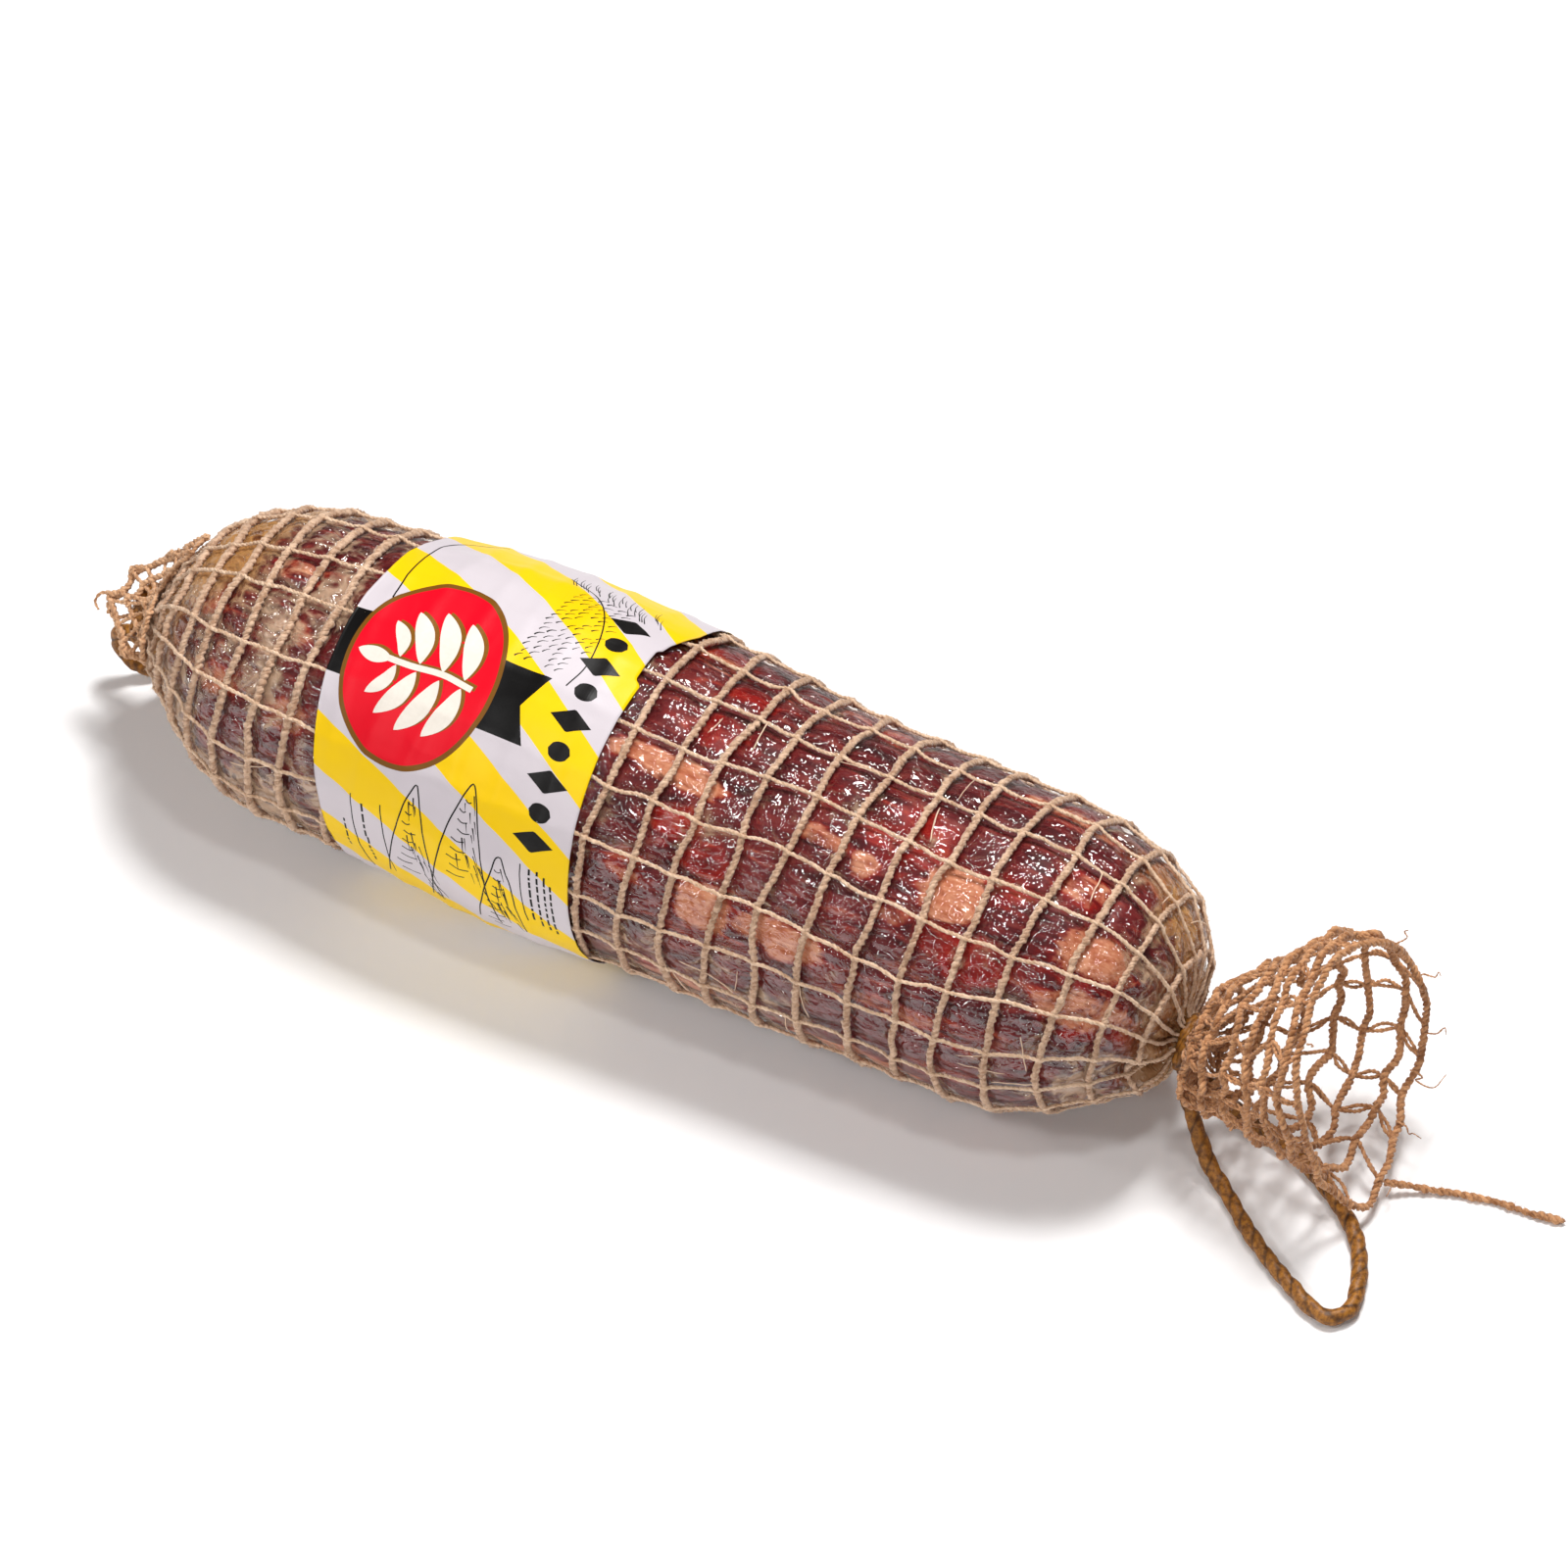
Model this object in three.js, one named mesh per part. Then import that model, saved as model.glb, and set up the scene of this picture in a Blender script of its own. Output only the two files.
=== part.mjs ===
// A whole-muscle cured pork piece in clear film and an elastic knitted net, lying on a flat surface.
// Millimetres, +Z up. The body lies along X, with the open bell of the net at +X and the short tuft at -X.
import * as THREE from "three";

// ---- driving dimensions -------------------------------------------------------------------------
const POLE_LEFT = -152; // x of the left-hand end of the body
const POLE_RIGHT = 162; // x that the right-hand dome would reach without its gathered hollow
const CAP_LEFT = -100; // x where the left-hand taper starts
const CAP_RIGHT = 108; // x where the right-hand dome starts
const TAPER_LEFT = 1.62; // exponent of the left-hand taper: under 2 is pointed
const DOME_RIGHT = 2.0; // exponent of the right-hand dome
const FACE_RIGHT = 159.0; // x of the puckered face that the right-hand gather pulls in
const PRESS = 1.2; // how far the body's own weight flattens its underside
const FLOOR = 0; // the surface it lies on
// Outer radius of the net along the straight part of the body: [x, radius].
const GIRTH = [
  [-100, 43.6],
  [-88, 44.3],
  [-76, 45.0],
  [-60, 46.2],
  [-40, 47.0],
  [-20, 47.0],
  [0, 46.4],
  [22, 45.6],
  [44, 44.9],
  [66, 44.7],
  [88, 44.0],
  [108, 43.2],
];
// Depths of each layer's faces below the outermost surface, measured along its normal.
const NET_IN = 1.4;
const NET_UNDER_LABEL = 0.85;
const LABEL_IN = 0.4;
const FILM_OUT = 1.85;
const FILM_IN = 2.3;
const MEAT_OUT = 2.75;
// The label band.
const LABEL_X0 = -78;
const LABEL_X1 = 0;
// The gathered necks: radii, and how far each reaches along X.
const NECK_NET_R = 5.0;
const NECK_NET_BORE = 3.4;
const NECK_FILM_R = 2.6;
const NECK_FILM_BORE = 1.6;
const NECK_RIGHT_X = 163.4;
const NECK_LEFT_X = -156.2;
const NECK_DROP_LEFT = 7.4; // the necks sit below the body's own axis
const NECK_DROP_RIGHT = 10.0;
const END_LIFT_LEFT = 2.6; // how far each rounded end lifts
const END_LIFT_RIGHT = 3.6;
// The string: diameter, and the rings that it makes round the necks.
const STRING_D = 4.3;
const TIE_R = 7.45; // radius of the string's middle round the neck
const TIE_TUBE_R = 2.1;
const TIE_RIGHT_X = 161.3;
const TIE_LEFT_X = -153.6;
const KNOT_LENGTH = 3.6; // how much deeper the ring is at its knot, underneath
const THREAD_D = 2.0;
const NET_WALL = 1.6; // wall of the net's free ends, taken over its knots
const SIDES = 28; // facets round the body
const GAP = 0.3;

// ---- the body's outer surface -------------------------------------------------------------------
function girth(x) {
  if (x <= GIRTH[0][0]) return GIRTH[0][1];
  for (let i = 1; i < GIRTH.length; i++)
    if (x <= GIRTH[i][0]) {
      const [x0, r0] = GIRTH[i - 1],
        [x1, r1] = GIRTH[i];
      return r0 + ((r1 - r0) * (x - x0)) / (x1 - x0);
    }
  return GIRTH[GIRTH.length - 1][1];
}
function outerRadius(x) {
  if (x < CAP_LEFT) {
    const t = Math.min(1, (CAP_LEFT - x) / (CAP_LEFT - POLE_LEFT));
    return girth(CAP_LEFT) * Math.pow(1 - Math.pow(t, TAPER_LEFT), 1 / TAPER_LEFT);
  }
  if (x > CAP_RIGHT) {
    const t = Math.min(1, (x - CAP_RIGHT) / (POLE_RIGHT - CAP_RIGHT));
    return girth(CAP_RIGHT) * Math.pow(1 - Math.pow(t, DOME_RIGHT), 1 / DOME_RIGHT);
  }
  return girth(x);
}
// Height of the body's middle at x: it rests all along the straight part, and the ends stay level.
function axisHeight(x) {
  return girth(Math.max(CAP_LEFT, Math.min(CAP_RIGHT, x))) - PRESS;
}
// The rounded ends lift off the surface a little, while the gathered necks themselves hang low: r is the
// distance from the middle line.
function lift(x, r) {
  const left = THREE.MathUtils.smoothstep(-x, 104, 150);
  const right = THREE.MathUtils.smoothstep(x, CAP_RIGHT - 12, POLE_RIGHT - 14);
  const neck = 1 - THREE.MathUtils.smoothstep(r, 7, 38);
  const end = THREE.MathUtils.smoothstep(Math.max(-x + POLE_LEFT, x - POLE_RIGHT), -24, -6);
  return END_LIFT_LEFT * left + END_LIFT_RIGHT * right - (x < 0 ? NECK_DROP_LEFT : NECK_DROP_RIGHT) * neck * end;
}
// Slow lumps of the muscle: a factor near 1 on the radius.
function lump(x, angle) {
  return (
    1 +
    0.012 * Math.sin(0.045 * x + 2 * angle + 0.6) +
    0.008 * Math.sin(0.083 * x - 3 * angle + 2.1) +
    0.006 * Math.sin(0.06 * x + angle)
  );
}

// The outer profile from neck to neck, as [x, radius] points.
const stationsLeft = [-150.4, -148.4, -145, -139.5, -131.5, -121.5, -112, -106];
const stationsMid = [-100, -88, LABEL_X0 - 0.6, LABEL_X0 + 0.6, -60, -40, -20, LABEL_X1 - 0.6, LABEL_X1 + 0.6, 22, 44, 66, 88];
const stationsRight = [108, 114.5, 121, 132.5, 142, 149.5, 154.6, 157.4];
const outer = [
  ...[...stationsLeft, ...stationsMid, ...stationsRight].map((x) => [x, outerRadius(x)]),
  [FACE_RIGHT, outerRadius(FACE_RIGHT)],
  [FACE_RIGHT - 0.3, 9.8],
  [FACE_RIGHT - 0.4, 6.4],
];
function offsetProfile(points, d) {
  return points.map(([x, r], i) => {
    const [xa, ra] = points[Math.max(0, i - 1)],
      [xb, rb] = points[Math.min(points.length - 1, i + 1)];
    const l = Math.hypot(xb - xa, rb - ra);
    return [x + ((rb - ra) / l) * d, r - ((xb - xa) / l) * d];
  });
}

// A closed body of revolution about X from a profile that ends on the axis or closes on itself.
function revolve(profile, sides = SIDES) {
  const g = new THREE.LatheGeometry(
    profile.map(([x, r]) => new THREE.Vector2(Math.max(0, r), x)),
    sides,
  );
  g.rotateZ(-Math.PI / 2); // the lathe's own axis Y becomes X
  return g;
}
// Gives a body of revolution the lumps, the sunk necks and the flattened underside.
function settle(g) {
  const p = g.attributes.position;
  for (let i = 0; i < p.count; i++) {
    const x = p.getX(i),
      y = p.getY(i),
      z = p.getZ(i);
    const r = Math.hypot(y, z),
      angle = Math.atan2(z, y);
    const near = THREE.MathUtils.smoothstep(r, 8, 22); // the necks stay round
    const free = THREE.MathUtils.smoothstep(Math.sin(angle), -0.98, -0.6); // the resting side is even
    const k = 1 + (lump(x, angle) - 1) * near * free;
    const yy = y * k;
    // The outermost layer is pressed flat on the surface, and every layer above it moves up with it.
    const middle = axisHeight(x) + lift(x, r);
    const lowest = middle + outerRadius(x) * Math.sin(angle) * k;
    const press = r > 20 ? Math.max(0, FLOOR - lowest) : 0;
    p.setXYZ(i, x, yy, middle + z * k + press);
  }
  p.needsUpdate = true;
  g.computeVertexNormals();
  return g;
}

// ---- materials ----------------------------------------------------------------------------------
const material = (color, roughness, more = {}) =>
  new THREE.MeshStandardMaterial({ color, roughness, metalness: 0, ...more });
const meatRed = material(0x5b1f22, 0.35);
const filmClear = material(0xb09a86, 0.12, { transparent: true, opacity: 0.35 });
const netTan = material(0xc09a74, 0.85);
const netBrown = material(0xb0784a, 0.85);
const paper = material(0xf2e07a, 0.4);
const string = material(0x6e4516, 0.7);

const group = new THREE.Group();
function add(name, geometry, mat) {
  const mesh = new THREE.Mesh(geometry, mat);
  mesh.name = name;
  group.add(mesh);
  return mesh;
}

// ---- the cured meat -----------------------------------------------------------------------------
{
  const body = offsetProfile(outer, MEAT_OUT).filter(([, r]) => r > 2.5);
  const [[x0]] = body,
    [x1] = body[body.length - 1];
  add("cured_meat", settle(revolve([[x0 - 0.3, 0], ...body, [x1, 0]])), meatRed);
}

// ---- the clear film, open along its gathered necks ----------------------------------------------
{
  const out = offsetProfile(outer, FILM_OUT).filter(([, r]) => r > NECK_FILM_R + 0.4);
  const inn = offsetProfile(outer, FILM_IN).filter(([, r]) => r > NECK_FILM_BORE + 0.4);
  const last = (points) => points[points.length - 1][0];
  const profile = [
    [NECK_LEFT_X, NECK_FILM_BORE],
    [NECK_LEFT_X, NECK_FILM_R],
    [out[0][0] - 0.3, NECK_FILM_R],
    ...out,
    [last(out), NECK_FILM_R],
    [NECK_RIGHT_X, NECK_FILM_R],
    [NECK_RIGHT_X, NECK_FILM_BORE],
    [last(inn), NECK_FILM_BORE],
    ...inn.reverse(),
    [inn[inn.length - 1][0] - 0.3, NECK_FILM_BORE],
    [NECK_LEFT_X, NECK_FILM_BORE],
  ];
  add("film_wrap", settle(revolve(profile)), filmClear);
}

// ---- the knitted net, with a shallow groove where the label lies ---------------------------------
{
  const inLabel = (x) => x > LABEL_X0 - 0.1 && x < LABEL_X1 + 0.1;
  const out = outer.map(([x, r]) => [x, inLabel(x) ? r - NET_UNDER_LABEL : r]);
  const inn = offsetProfile(outer, NET_IN).filter(([, r]) => r > NECK_NET_BORE + 0.4);
  const last = (points) => points[points.length - 1][0];
  const profile = [
    [NECK_LEFT_X, NECK_NET_BORE],
    [NECK_LEFT_X, NECK_NET_R],
    [out[0][0] - 0.4, NECK_NET_R],
    ...out,
    [last(out), NECK_NET_R],
    [NECK_RIGHT_X, NECK_NET_R],
    [NECK_RIGHT_X, NECK_NET_BORE],
    [last(inn), NECK_NET_BORE],
    ...inn.reverse(),
    [inn[inn.length - 1][0] - 0.3, NECK_NET_BORE],
    [NECK_LEFT_X, NECK_NET_BORE],
  ];
  add("net_sleeve", settle(revolve(profile)), netTan);
}

// ---- the paper label band -----------------------------------------------------------------------
{
  const s = outer.filter(([x]) => x > LABEL_X0 && x < LABEL_X1);
  const profile = [
    ...s,
    ...s.map(([x, r]) => [x, r - LABEL_IN]).reverse(),
    s[0],
  ];
  add("label_band", settle(revolve(profile)), paper);
}

// ---- the string ties round the necks, deeper underneath where each is knotted --------------------
function tie(name, x, height) {
  const ring = [];
  const n = 10;
  for (let i = 0; i <= n; i++) {
    const a = (-2 * Math.PI * i) / n;
    ring.push([x + TIE_TUBE_R * Math.sin(a), TIE_R + TIE_TUBE_R * Math.cos(a)]);
  }
  ring[n] = ring[0];
  const g = revolve(ring.reverse(), 20);
  const p = g.attributes.position;
  for (let i = 0; i < p.count; i++) {
    const y = p.getY(i),
      z = p.getZ(i),
      r = Math.hypot(y, z);
    const low = Math.pow(Math.max(0, -z / r), 3); // 1 underneath
    const out = THREE.MathUtils.smoothstep(r, TIE_R - TIE_TUBE_R, TIE_R + TIE_TUBE_R);
    const k = (r + KNOT_LENGTH * low * out) / r;
    p.setXYZ(i, p.getX(i), y * k, z * k + height);
  }
  g.computeVertexNormals();
  add(name, g, string);
}
const neckHeightRight = axisHeight(POLE_RIGHT) + lift(POLE_RIGHT, 0);
const neckHeightLeft = axisHeight(POLE_LEFT) + lift(POLE_LEFT, 0);
tie("neck_tie_right", TIE_RIGHT_X, neckHeightRight);
tie("neck_tie_left", TIE_LEFT_X, neckHeightLeft);

// ---- the net's free ends ------------------------------------------------------------------------
// A section of the bell: a closed loop of points round its middle, at the same angles in every section.
const BELL_SIDES = 28;
// The mouth's rim, one point after another round it from the back over the top; its lowest corner lies on the string.
const RIM = [
  [212.4, 36, 40.6],
  [208.4, 34, 57.7],
  [203.9, 26, 71],
  [197.5, 8, 76.5],
  [201, -13, 65],
  [204, -21, 46],
  [208, -15.5, 24.5],
  [216.6, -9.4, 7.2],
  [215.8, 5.8, 6.6],
  [211.7, 27, 16.2],
].map((p) => new THREE.Vector3(...p));
const rimCurve = new THREE.CatmullRomCurve3(RIM, true, "centripetal");
const RIM_MID = new THREE.Vector3(206.5, 8, 40);
// [x, y of the middle, z of the middle, radius, lean of the top towards -X]
const BELL = [
  [165.2, 2, 34.6, 16.6, 0],
  [170.5, 3.2, 36.2, 19.2, 0.4],
  [178.0, 5, 38.8, 22.6, 1.2],
  [188.0, 8, 41.2, 28.2, 3],
  [197.6, 9, 42.2, 31.8, 6],
];
function bellSection(k, shrink) {
  const loop = [];
  for (let i = 0; i < BELL_SIDES; i++) {
    const a = (2 * Math.PI * i) / BELL_SIDES;
    if (k < BELL.length) {
      const [x, y, z, r, lean] = BELL[k];
      loop.push(
        new THREE.Vector3(
          x - lean * Math.sin(a),
          y + (r - shrink) * Math.cos(a),
          z + (r - shrink) * Math.sin(a),
        ),
      );
    } else {
      // the rim's point whose angle about the rim's middle is a
      let best = null,
        miss = 9;
      for (let j = 0; j < 720; j++) {
        const q = rimCurve.getPoint(j / 720);
        const b = Math.atan2(q.z - RIM_MID.z, q.y - RIM_MID.y);
        const d = Math.abs(Math.atan2(Math.sin(b - a), Math.cos(b - a)));
        if (d < miss) [miss, best] = [d, q];
      }
      const dy = best.y - RIM_MID.y,
        dz = best.z - RIM_MID.z,
        l = Math.hypot(dy, dz),
        f = (l - shrink) / l;
      loop.push(new THREE.Vector3(best.x, RIM_MID.y + dy * f, RIM_MID.z + dz * f));
    }
  }
  return loop;
}
// Skins a lathe with a section for each profile point: the lathe gives the closed topology, the sections give the shape.
function skin(sections, sides) {
  const g = new THREE.LatheGeometry(
    sections.map((s, j) => new THREE.Vector2(Array.isArray(s) ? 1 : 0, j)),
    sides,
  );
  const p = g.attributes.position,
    n = sections.length;
  for (let i = 0; i < p.count; i++) {
    const side = Math.floor(i / n) % sides,
      j = i % n;
    const q = Array.isArray(sections[j]) ? sections[j][side] : sections[j];
    p.setXYZ(i, q.x, q.y, q.z);
  }
  g.computeVertexNormals();
  return g;
}
{
  const throat = NECK_RIGHT_X + GAP + 0.2;
  const backR = 14.4; // the puckered back of the bell is clear of the tie
  const back = (x, r) => {
    const loop = [];
    for (let i = 0; i < BELL_SIDES; i++) {
      const a = (2 * Math.PI * i) / BELL_SIDES;
      loop.push(new THREE.Vector3(x, 1.6 + r * Math.cos(a), 34.8 + r * Math.sin(a)));
    }
    return loop;
  };
  const centre = (x) => new THREE.Vector3(x, 1.6, 34.8);
  const outs = [centre(throat), back(throat, 5), back(throat, backR)];
  for (let k = 0; k <= BELL.length; k++) outs.push(bellSection(k, 0));
  const ins = [];
  for (let k = BELL.length; k >= 1; k--) ins.push(bellSection(k, NET_WALL));
  ins.push(back(throat + NET_WALL, backR - 0.6), centre(throat + NET_WALL));
  add("net_tail", skin([...outs, ...ins], BELL_SIDES), netBrown);
}
{
  // The short crumpled tuft at the other end.
  const TUFT_SIDES = 18;
  const t = NECK_LEFT_X - GAP - 0.1;
  const sections = [
    [t, 2.0, 38.2, 0],
    [t, 2.0, 38.2, 9.6],
    [-159.0, 2.6, 38.2, 11.2],
    [-163.0, 2.6, 37.2, 9.2],
    [-167.0, 1.8, 35.6, 6.4],
    [-170.4, 1.0, 33.6, 3.2],
    [-171.2, 1.0, 33.2, 0],
  ].map(([x, y, z, r]) => {
    if (!r) return new THREE.Vector3(x, y, z);
    const loop = [];
    for (let i = 0; i < TUFT_SIDES; i++) {
      const a = (2 * Math.PI * i) / TUFT_SIDES;
      const w = 1 + 0.1 * Math.sin(3 * a + 0.2 * x);
      loop.push(new THREE.Vector3(x, y + r * w * Math.cos(a), z + r * w * Math.sin(a)));
    }
    return loop;
  });
  add("net_tuft", skin(sections.reverse(), TUFT_SIDES), netBrown);
}

// ---- string and thread --------------------------------------------------------------------------
function cordGeometry(points, diameter, sides, steps) {
  const curve = new THREE.CatmullRomCurve3(
    points.map((p) => new THREE.Vector3(...p)),
    false,
    "centripetal",
  );
  const section = new THREE.Shape(
    Array.from({ length: sides }, (_, i) => {
      const a = (2 * Math.PI * i) / sides;
      return new THREE.Vector2((diameter / 2) * Math.cos(a), (diameter / 2) * Math.sin(a));
    }),
  );
  return new THREE.ExtrudeGeometry(section, {
    steps,
    bevelEnabled: false,
    extrudePath: curve,
  });
}
// Both loops start under their knot and come back to it.
const LOOP_RIGHT = [
  [161.3, -2.7, 20.4],
  [162.6, -4.3, 18.6],
  [165.4, -6.8, 15.4],
  [169.4, -9.4, 9.0],
  [174.2, -12.6, 4.4],
  [179.2, -15.6, 2.7],
  [184.4, -19.6, 2.5],
  [193.2, -26.6, 2.5],
  [203.4, -33.2, 2.5],
  [212.2, -38.0, 2.5],
  [218.6, -41.2, 2.5],
  [224.2, -41.6, 2.5],
  [227.4, -37.0, 2.5],
  [226.4, -31.0, 2.5],
  [223.6, -23.6, 2.5],
  [218.6, -15.4, 2.5],
  [211.8, -8.8, 2.5],
  [204.0, -3.4, 2.5],
  [195.6, 1.2, 2.5],
  [187.3, 4.4, 2.5],
  [179.6, 6.2, 3.0],
  [172.6, 6.8, 5.6],
  [167.0, 5.8, 10.6],
  [163.2, 4.0, 16.4],
  [161.3, 2.7, 20.4],
];
const LOOP_LEFT = [
  [-153.6, 2.4, 23.4],
  [-154.2, 2.6, 21.8],
  [-157.4, 2.6, 20.0],
  [-161.8, 2.8, 20.6],
  [-165.2, 3.0, 18.8],
  [-166.0, 3.2, 14.6],
  [-164.0, 4.0, 9.4],
  [-160.8, 6.0, 4.6],
  [-156.4, 9.2, 2.7],
  [-151.0, 16.0, 2.5],
  [-146.0, 25.0, 2.5],
  [-141.6, 35.0, 2.5],
  [-138.6, 45.0, 2.5],
  [-136.4, 53.0, 2.5],
  [-131.8, 58.4, 2.5],
  [-125.0, 57.6, 2.5],
  [-122.4, 51.0, 2.5],
  [-125.0, 42.0, 2.5],
  [-129.4, 33.0, 2.5],
  [-135.2, 24.4, 2.5],
  [-141.8, 16.2, 3.0],
  [-147.4, 9.6, 6.4],
  [-150.8, 4.6, 13.0],
  [-153.2, -0.6, 19.6],
  [-153.6, -2.4, 23.4],
];
const THREAD = [
  [216.9, 4.2, 4.4],
  [220.4, 6.6, 3.2],
  [226.6, 9.6, 1.8],
  [234.4, 12.6, 1.2],
  [244.5, 14.8, 1.2],
  [255.4, 15.8, 1.2],
  [264.6, 17.9, 1.2],
];
add("hanging_loop_right", cordGeometry(LOOP_RIGHT, STRING_D, 8, 34), string);
add("hanging_loop_left", cordGeometry(LOOP_LEFT, STRING_D, 8, 34), string);
add("loose_thread", cordGeometry(THREAD, THREAD_D, 8, 20), netBrown);

// ---- the part's own frame -----------------------------------------------------------------------
// The origin is under the middle of the piece, measured without its string loops and loose thread.
const FRAME_SHIFT = [-22.83, -0.011, 0];
group.position.set(...FRAME_SHIFT);

export default group;
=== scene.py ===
import math

import bpy
import numpy as np
from mathutils import Matrix, Vector


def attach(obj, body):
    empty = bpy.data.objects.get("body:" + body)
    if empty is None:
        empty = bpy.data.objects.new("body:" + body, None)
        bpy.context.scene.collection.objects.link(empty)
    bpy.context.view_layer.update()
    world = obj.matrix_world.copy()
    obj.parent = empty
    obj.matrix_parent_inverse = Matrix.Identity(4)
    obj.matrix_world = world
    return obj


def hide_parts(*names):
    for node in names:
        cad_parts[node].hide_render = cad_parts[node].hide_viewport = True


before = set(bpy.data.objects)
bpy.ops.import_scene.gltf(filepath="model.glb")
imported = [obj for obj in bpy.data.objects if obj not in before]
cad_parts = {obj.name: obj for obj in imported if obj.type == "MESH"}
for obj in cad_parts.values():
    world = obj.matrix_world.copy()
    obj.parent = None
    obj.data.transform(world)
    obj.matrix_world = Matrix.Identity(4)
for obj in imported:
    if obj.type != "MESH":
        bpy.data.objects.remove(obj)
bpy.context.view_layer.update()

scene = bpy.context.scene

# Everything is worked out in millimetres in the part's drawing frame, and moved by SHIFT into the row frame.
SHIFT = np.array([-22.83, -0.011, 0.0])


def metres(p):
    return (np.asarray(p, float) + SHIFT) / 1000.0


def sstep(v, a, b):
    t = np.clip((np.asarray(v, float) - a) / (b - a), 0, 1)
    return t * t * (3 - 2 * t)


# ---- noise ---------------------------------------------------------------------------------------
def noise3(p, seed=0):
    """Smooth value noise in [-1, 1] at points p (n, 3)."""
    p = np.asarray(p, float)
    i = np.floor(p).astype(np.int64)
    f = p - i
    w = f * f * f * (f * (f * 6 - 15) + 10)
    out = np.zeros(p.shape[:-1])
    for dx in (0, 1):
        wx = w[..., 0] if dx else 1 - w[..., 0]
        for dy in (0, 1):
            wy = w[..., 1] if dy else 1 - w[..., 1]
            for dz in (0, 1):
                wz = w[..., 2] if dz else 1 - w[..., 2]
                h = ((i[..., 0] + dx) * 73856093) ^ ((i[..., 1] + dy) * 19349663) ^ ((i[..., 2] + dz) * 83492791) ^ (seed * 40503 + 977)
                h = (h & 0xFFFFFFFF).astype(np.uint64)
                h ^= h >> np.uint64(16)
                h = (h * np.uint64(0x45D9F3B)) & np.uint64(0xFFFFFFFF)
                h ^= h >> np.uint64(16)
                h = (h * np.uint64(0x45D9F3B)) & np.uint64(0xFFFFFFFF)
                h ^= h >> np.uint64(16)
                out += (h.astype(float) / 4294967295.0 * 2 - 1) * wx * wy * wz
    return out


def fbm(p, octaves=3, seed=0, gain=0.5, lac=2.1):
    out, amp, tot = 0, 1.0, 0.0
    p = np.asarray(p, float)
    for k in range(octaves):
        out = out + amp * noise3(p * lac**k, seed + 17 * k)
        tot += amp
        amp *= gain
    return out / tot


def ridged(p, octaves=3, seed=0, gain=0.55, lac=2.1):
    out, amp, tot = 0, 1.0, 0.0
    p = np.asarray(p, float)
    for k in range(octaves):
        n = 1 - np.abs(noise3(p * lac**k, seed + 31 * k)) * 1.6
        out = out + amp * np.clip(n, 0, 1) ** 2
        tot += amp
        amp *= gain
    return out / tot


# ---- mesh building -------------------------------------------------------------------------------
class Soup:
    """Collects vertices, quads and triangles (mm, drawing frame) for one piece."""

    def __init__(self):
        self.v, self.q, self.t, self.n = [], [], [], 0
        self.attr = {}

    def add(self, v, quads=None, tris=None, **attrs):
        v = np.asarray(v, float).reshape(-1, 3)
        if quads is not None and len(quads):
            self.q.append(np.asarray(quads, np.int64).reshape(-1, 4) + self.n)
        if tris is not None and len(tris):
            self.t.append(np.asarray(tris, np.int64).reshape(-1, 3) + self.n)
        for k, val in attrs.items():
            self.attr.setdefault(k, []).append(np.broadcast_to(np.asarray(val, float), (len(v),)))
        self.v.append(v)
        self.n += len(v)

    def build(self, name, mats, smooth=True, uv=None, mat_index=None):
        v = metres(np.concatenate(self.v))
        v[:, 2] = np.maximum(v[:, 2], 0.0)  # nothing hangs below the floor
        q = np.concatenate(self.q) if self.q else np.zeros((0, 4), np.int64)
        t = np.concatenate(self.t) if self.t else np.zeros((0, 3), np.int64)
        me = bpy.data.meshes.new(name)
        me.vertices.add(len(v))
        me.vertices.foreach_set("co", v.astype(np.float32).ravel())
        loops = np.concatenate([q.ravel(), t.ravel()])
        me.loops.add(len(loops))
        me.loops.foreach_set("vertex_index", loops.astype(np.int32))
        me.polygons.add(len(q) + len(t))
        start = np.concatenate([np.arange(len(q)) * 4, len(q) * 4 + np.arange(len(t)) * 3])
        me.polygons.foreach_set("loop_start", start.astype(np.int32))
        me.update(calc_edges=True)
        me.polygons.foreach_set("use_smooth", np.full(len(q) + len(t), smooth))
        for k, vals in self.attr.items():
            a = me.attributes.new(k, "FLOAT", "POINT")
            a.data.foreach_set("value", np.concatenate(vals).astype(np.float32))
        if uv is not None:
            layer = me.uv_layers.new(name="print")
            layer.data.foreach_set("uv", np.asarray(uv, np.float32)[loops].ravel())
        me.validate()
        me.update()
        ob = bpy.data.objects.new(name, me)
        scene.collection.objects.link(ob)
        for m in mats if isinstance(mats, (list, tuple)) else [mats]:
            me.materials.append(m)
        if mat_index is not None:
            me.polygons.foreach_set("material_index", np.asarray(mat_index, np.int32))
        return ob


def grid_faces(nu, na, wrap=True):
    """Quads of a grid of nu rows of na points."""
    i = np.arange(nu - 1)[:, None]
    j = np.arange(na if wrap else na - 1)[None, :]
    k = (j + 1) % na if wrap else j + 1
    return np.stack([i * na + j, i * na + k, (i + 1) * na + k, (i + 1) * na + j], -1).reshape(-1, 4)


def unit(v):
    return v / np.maximum(np.linalg.norm(v, axis=-1, keepdims=True), 1e-9)


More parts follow.
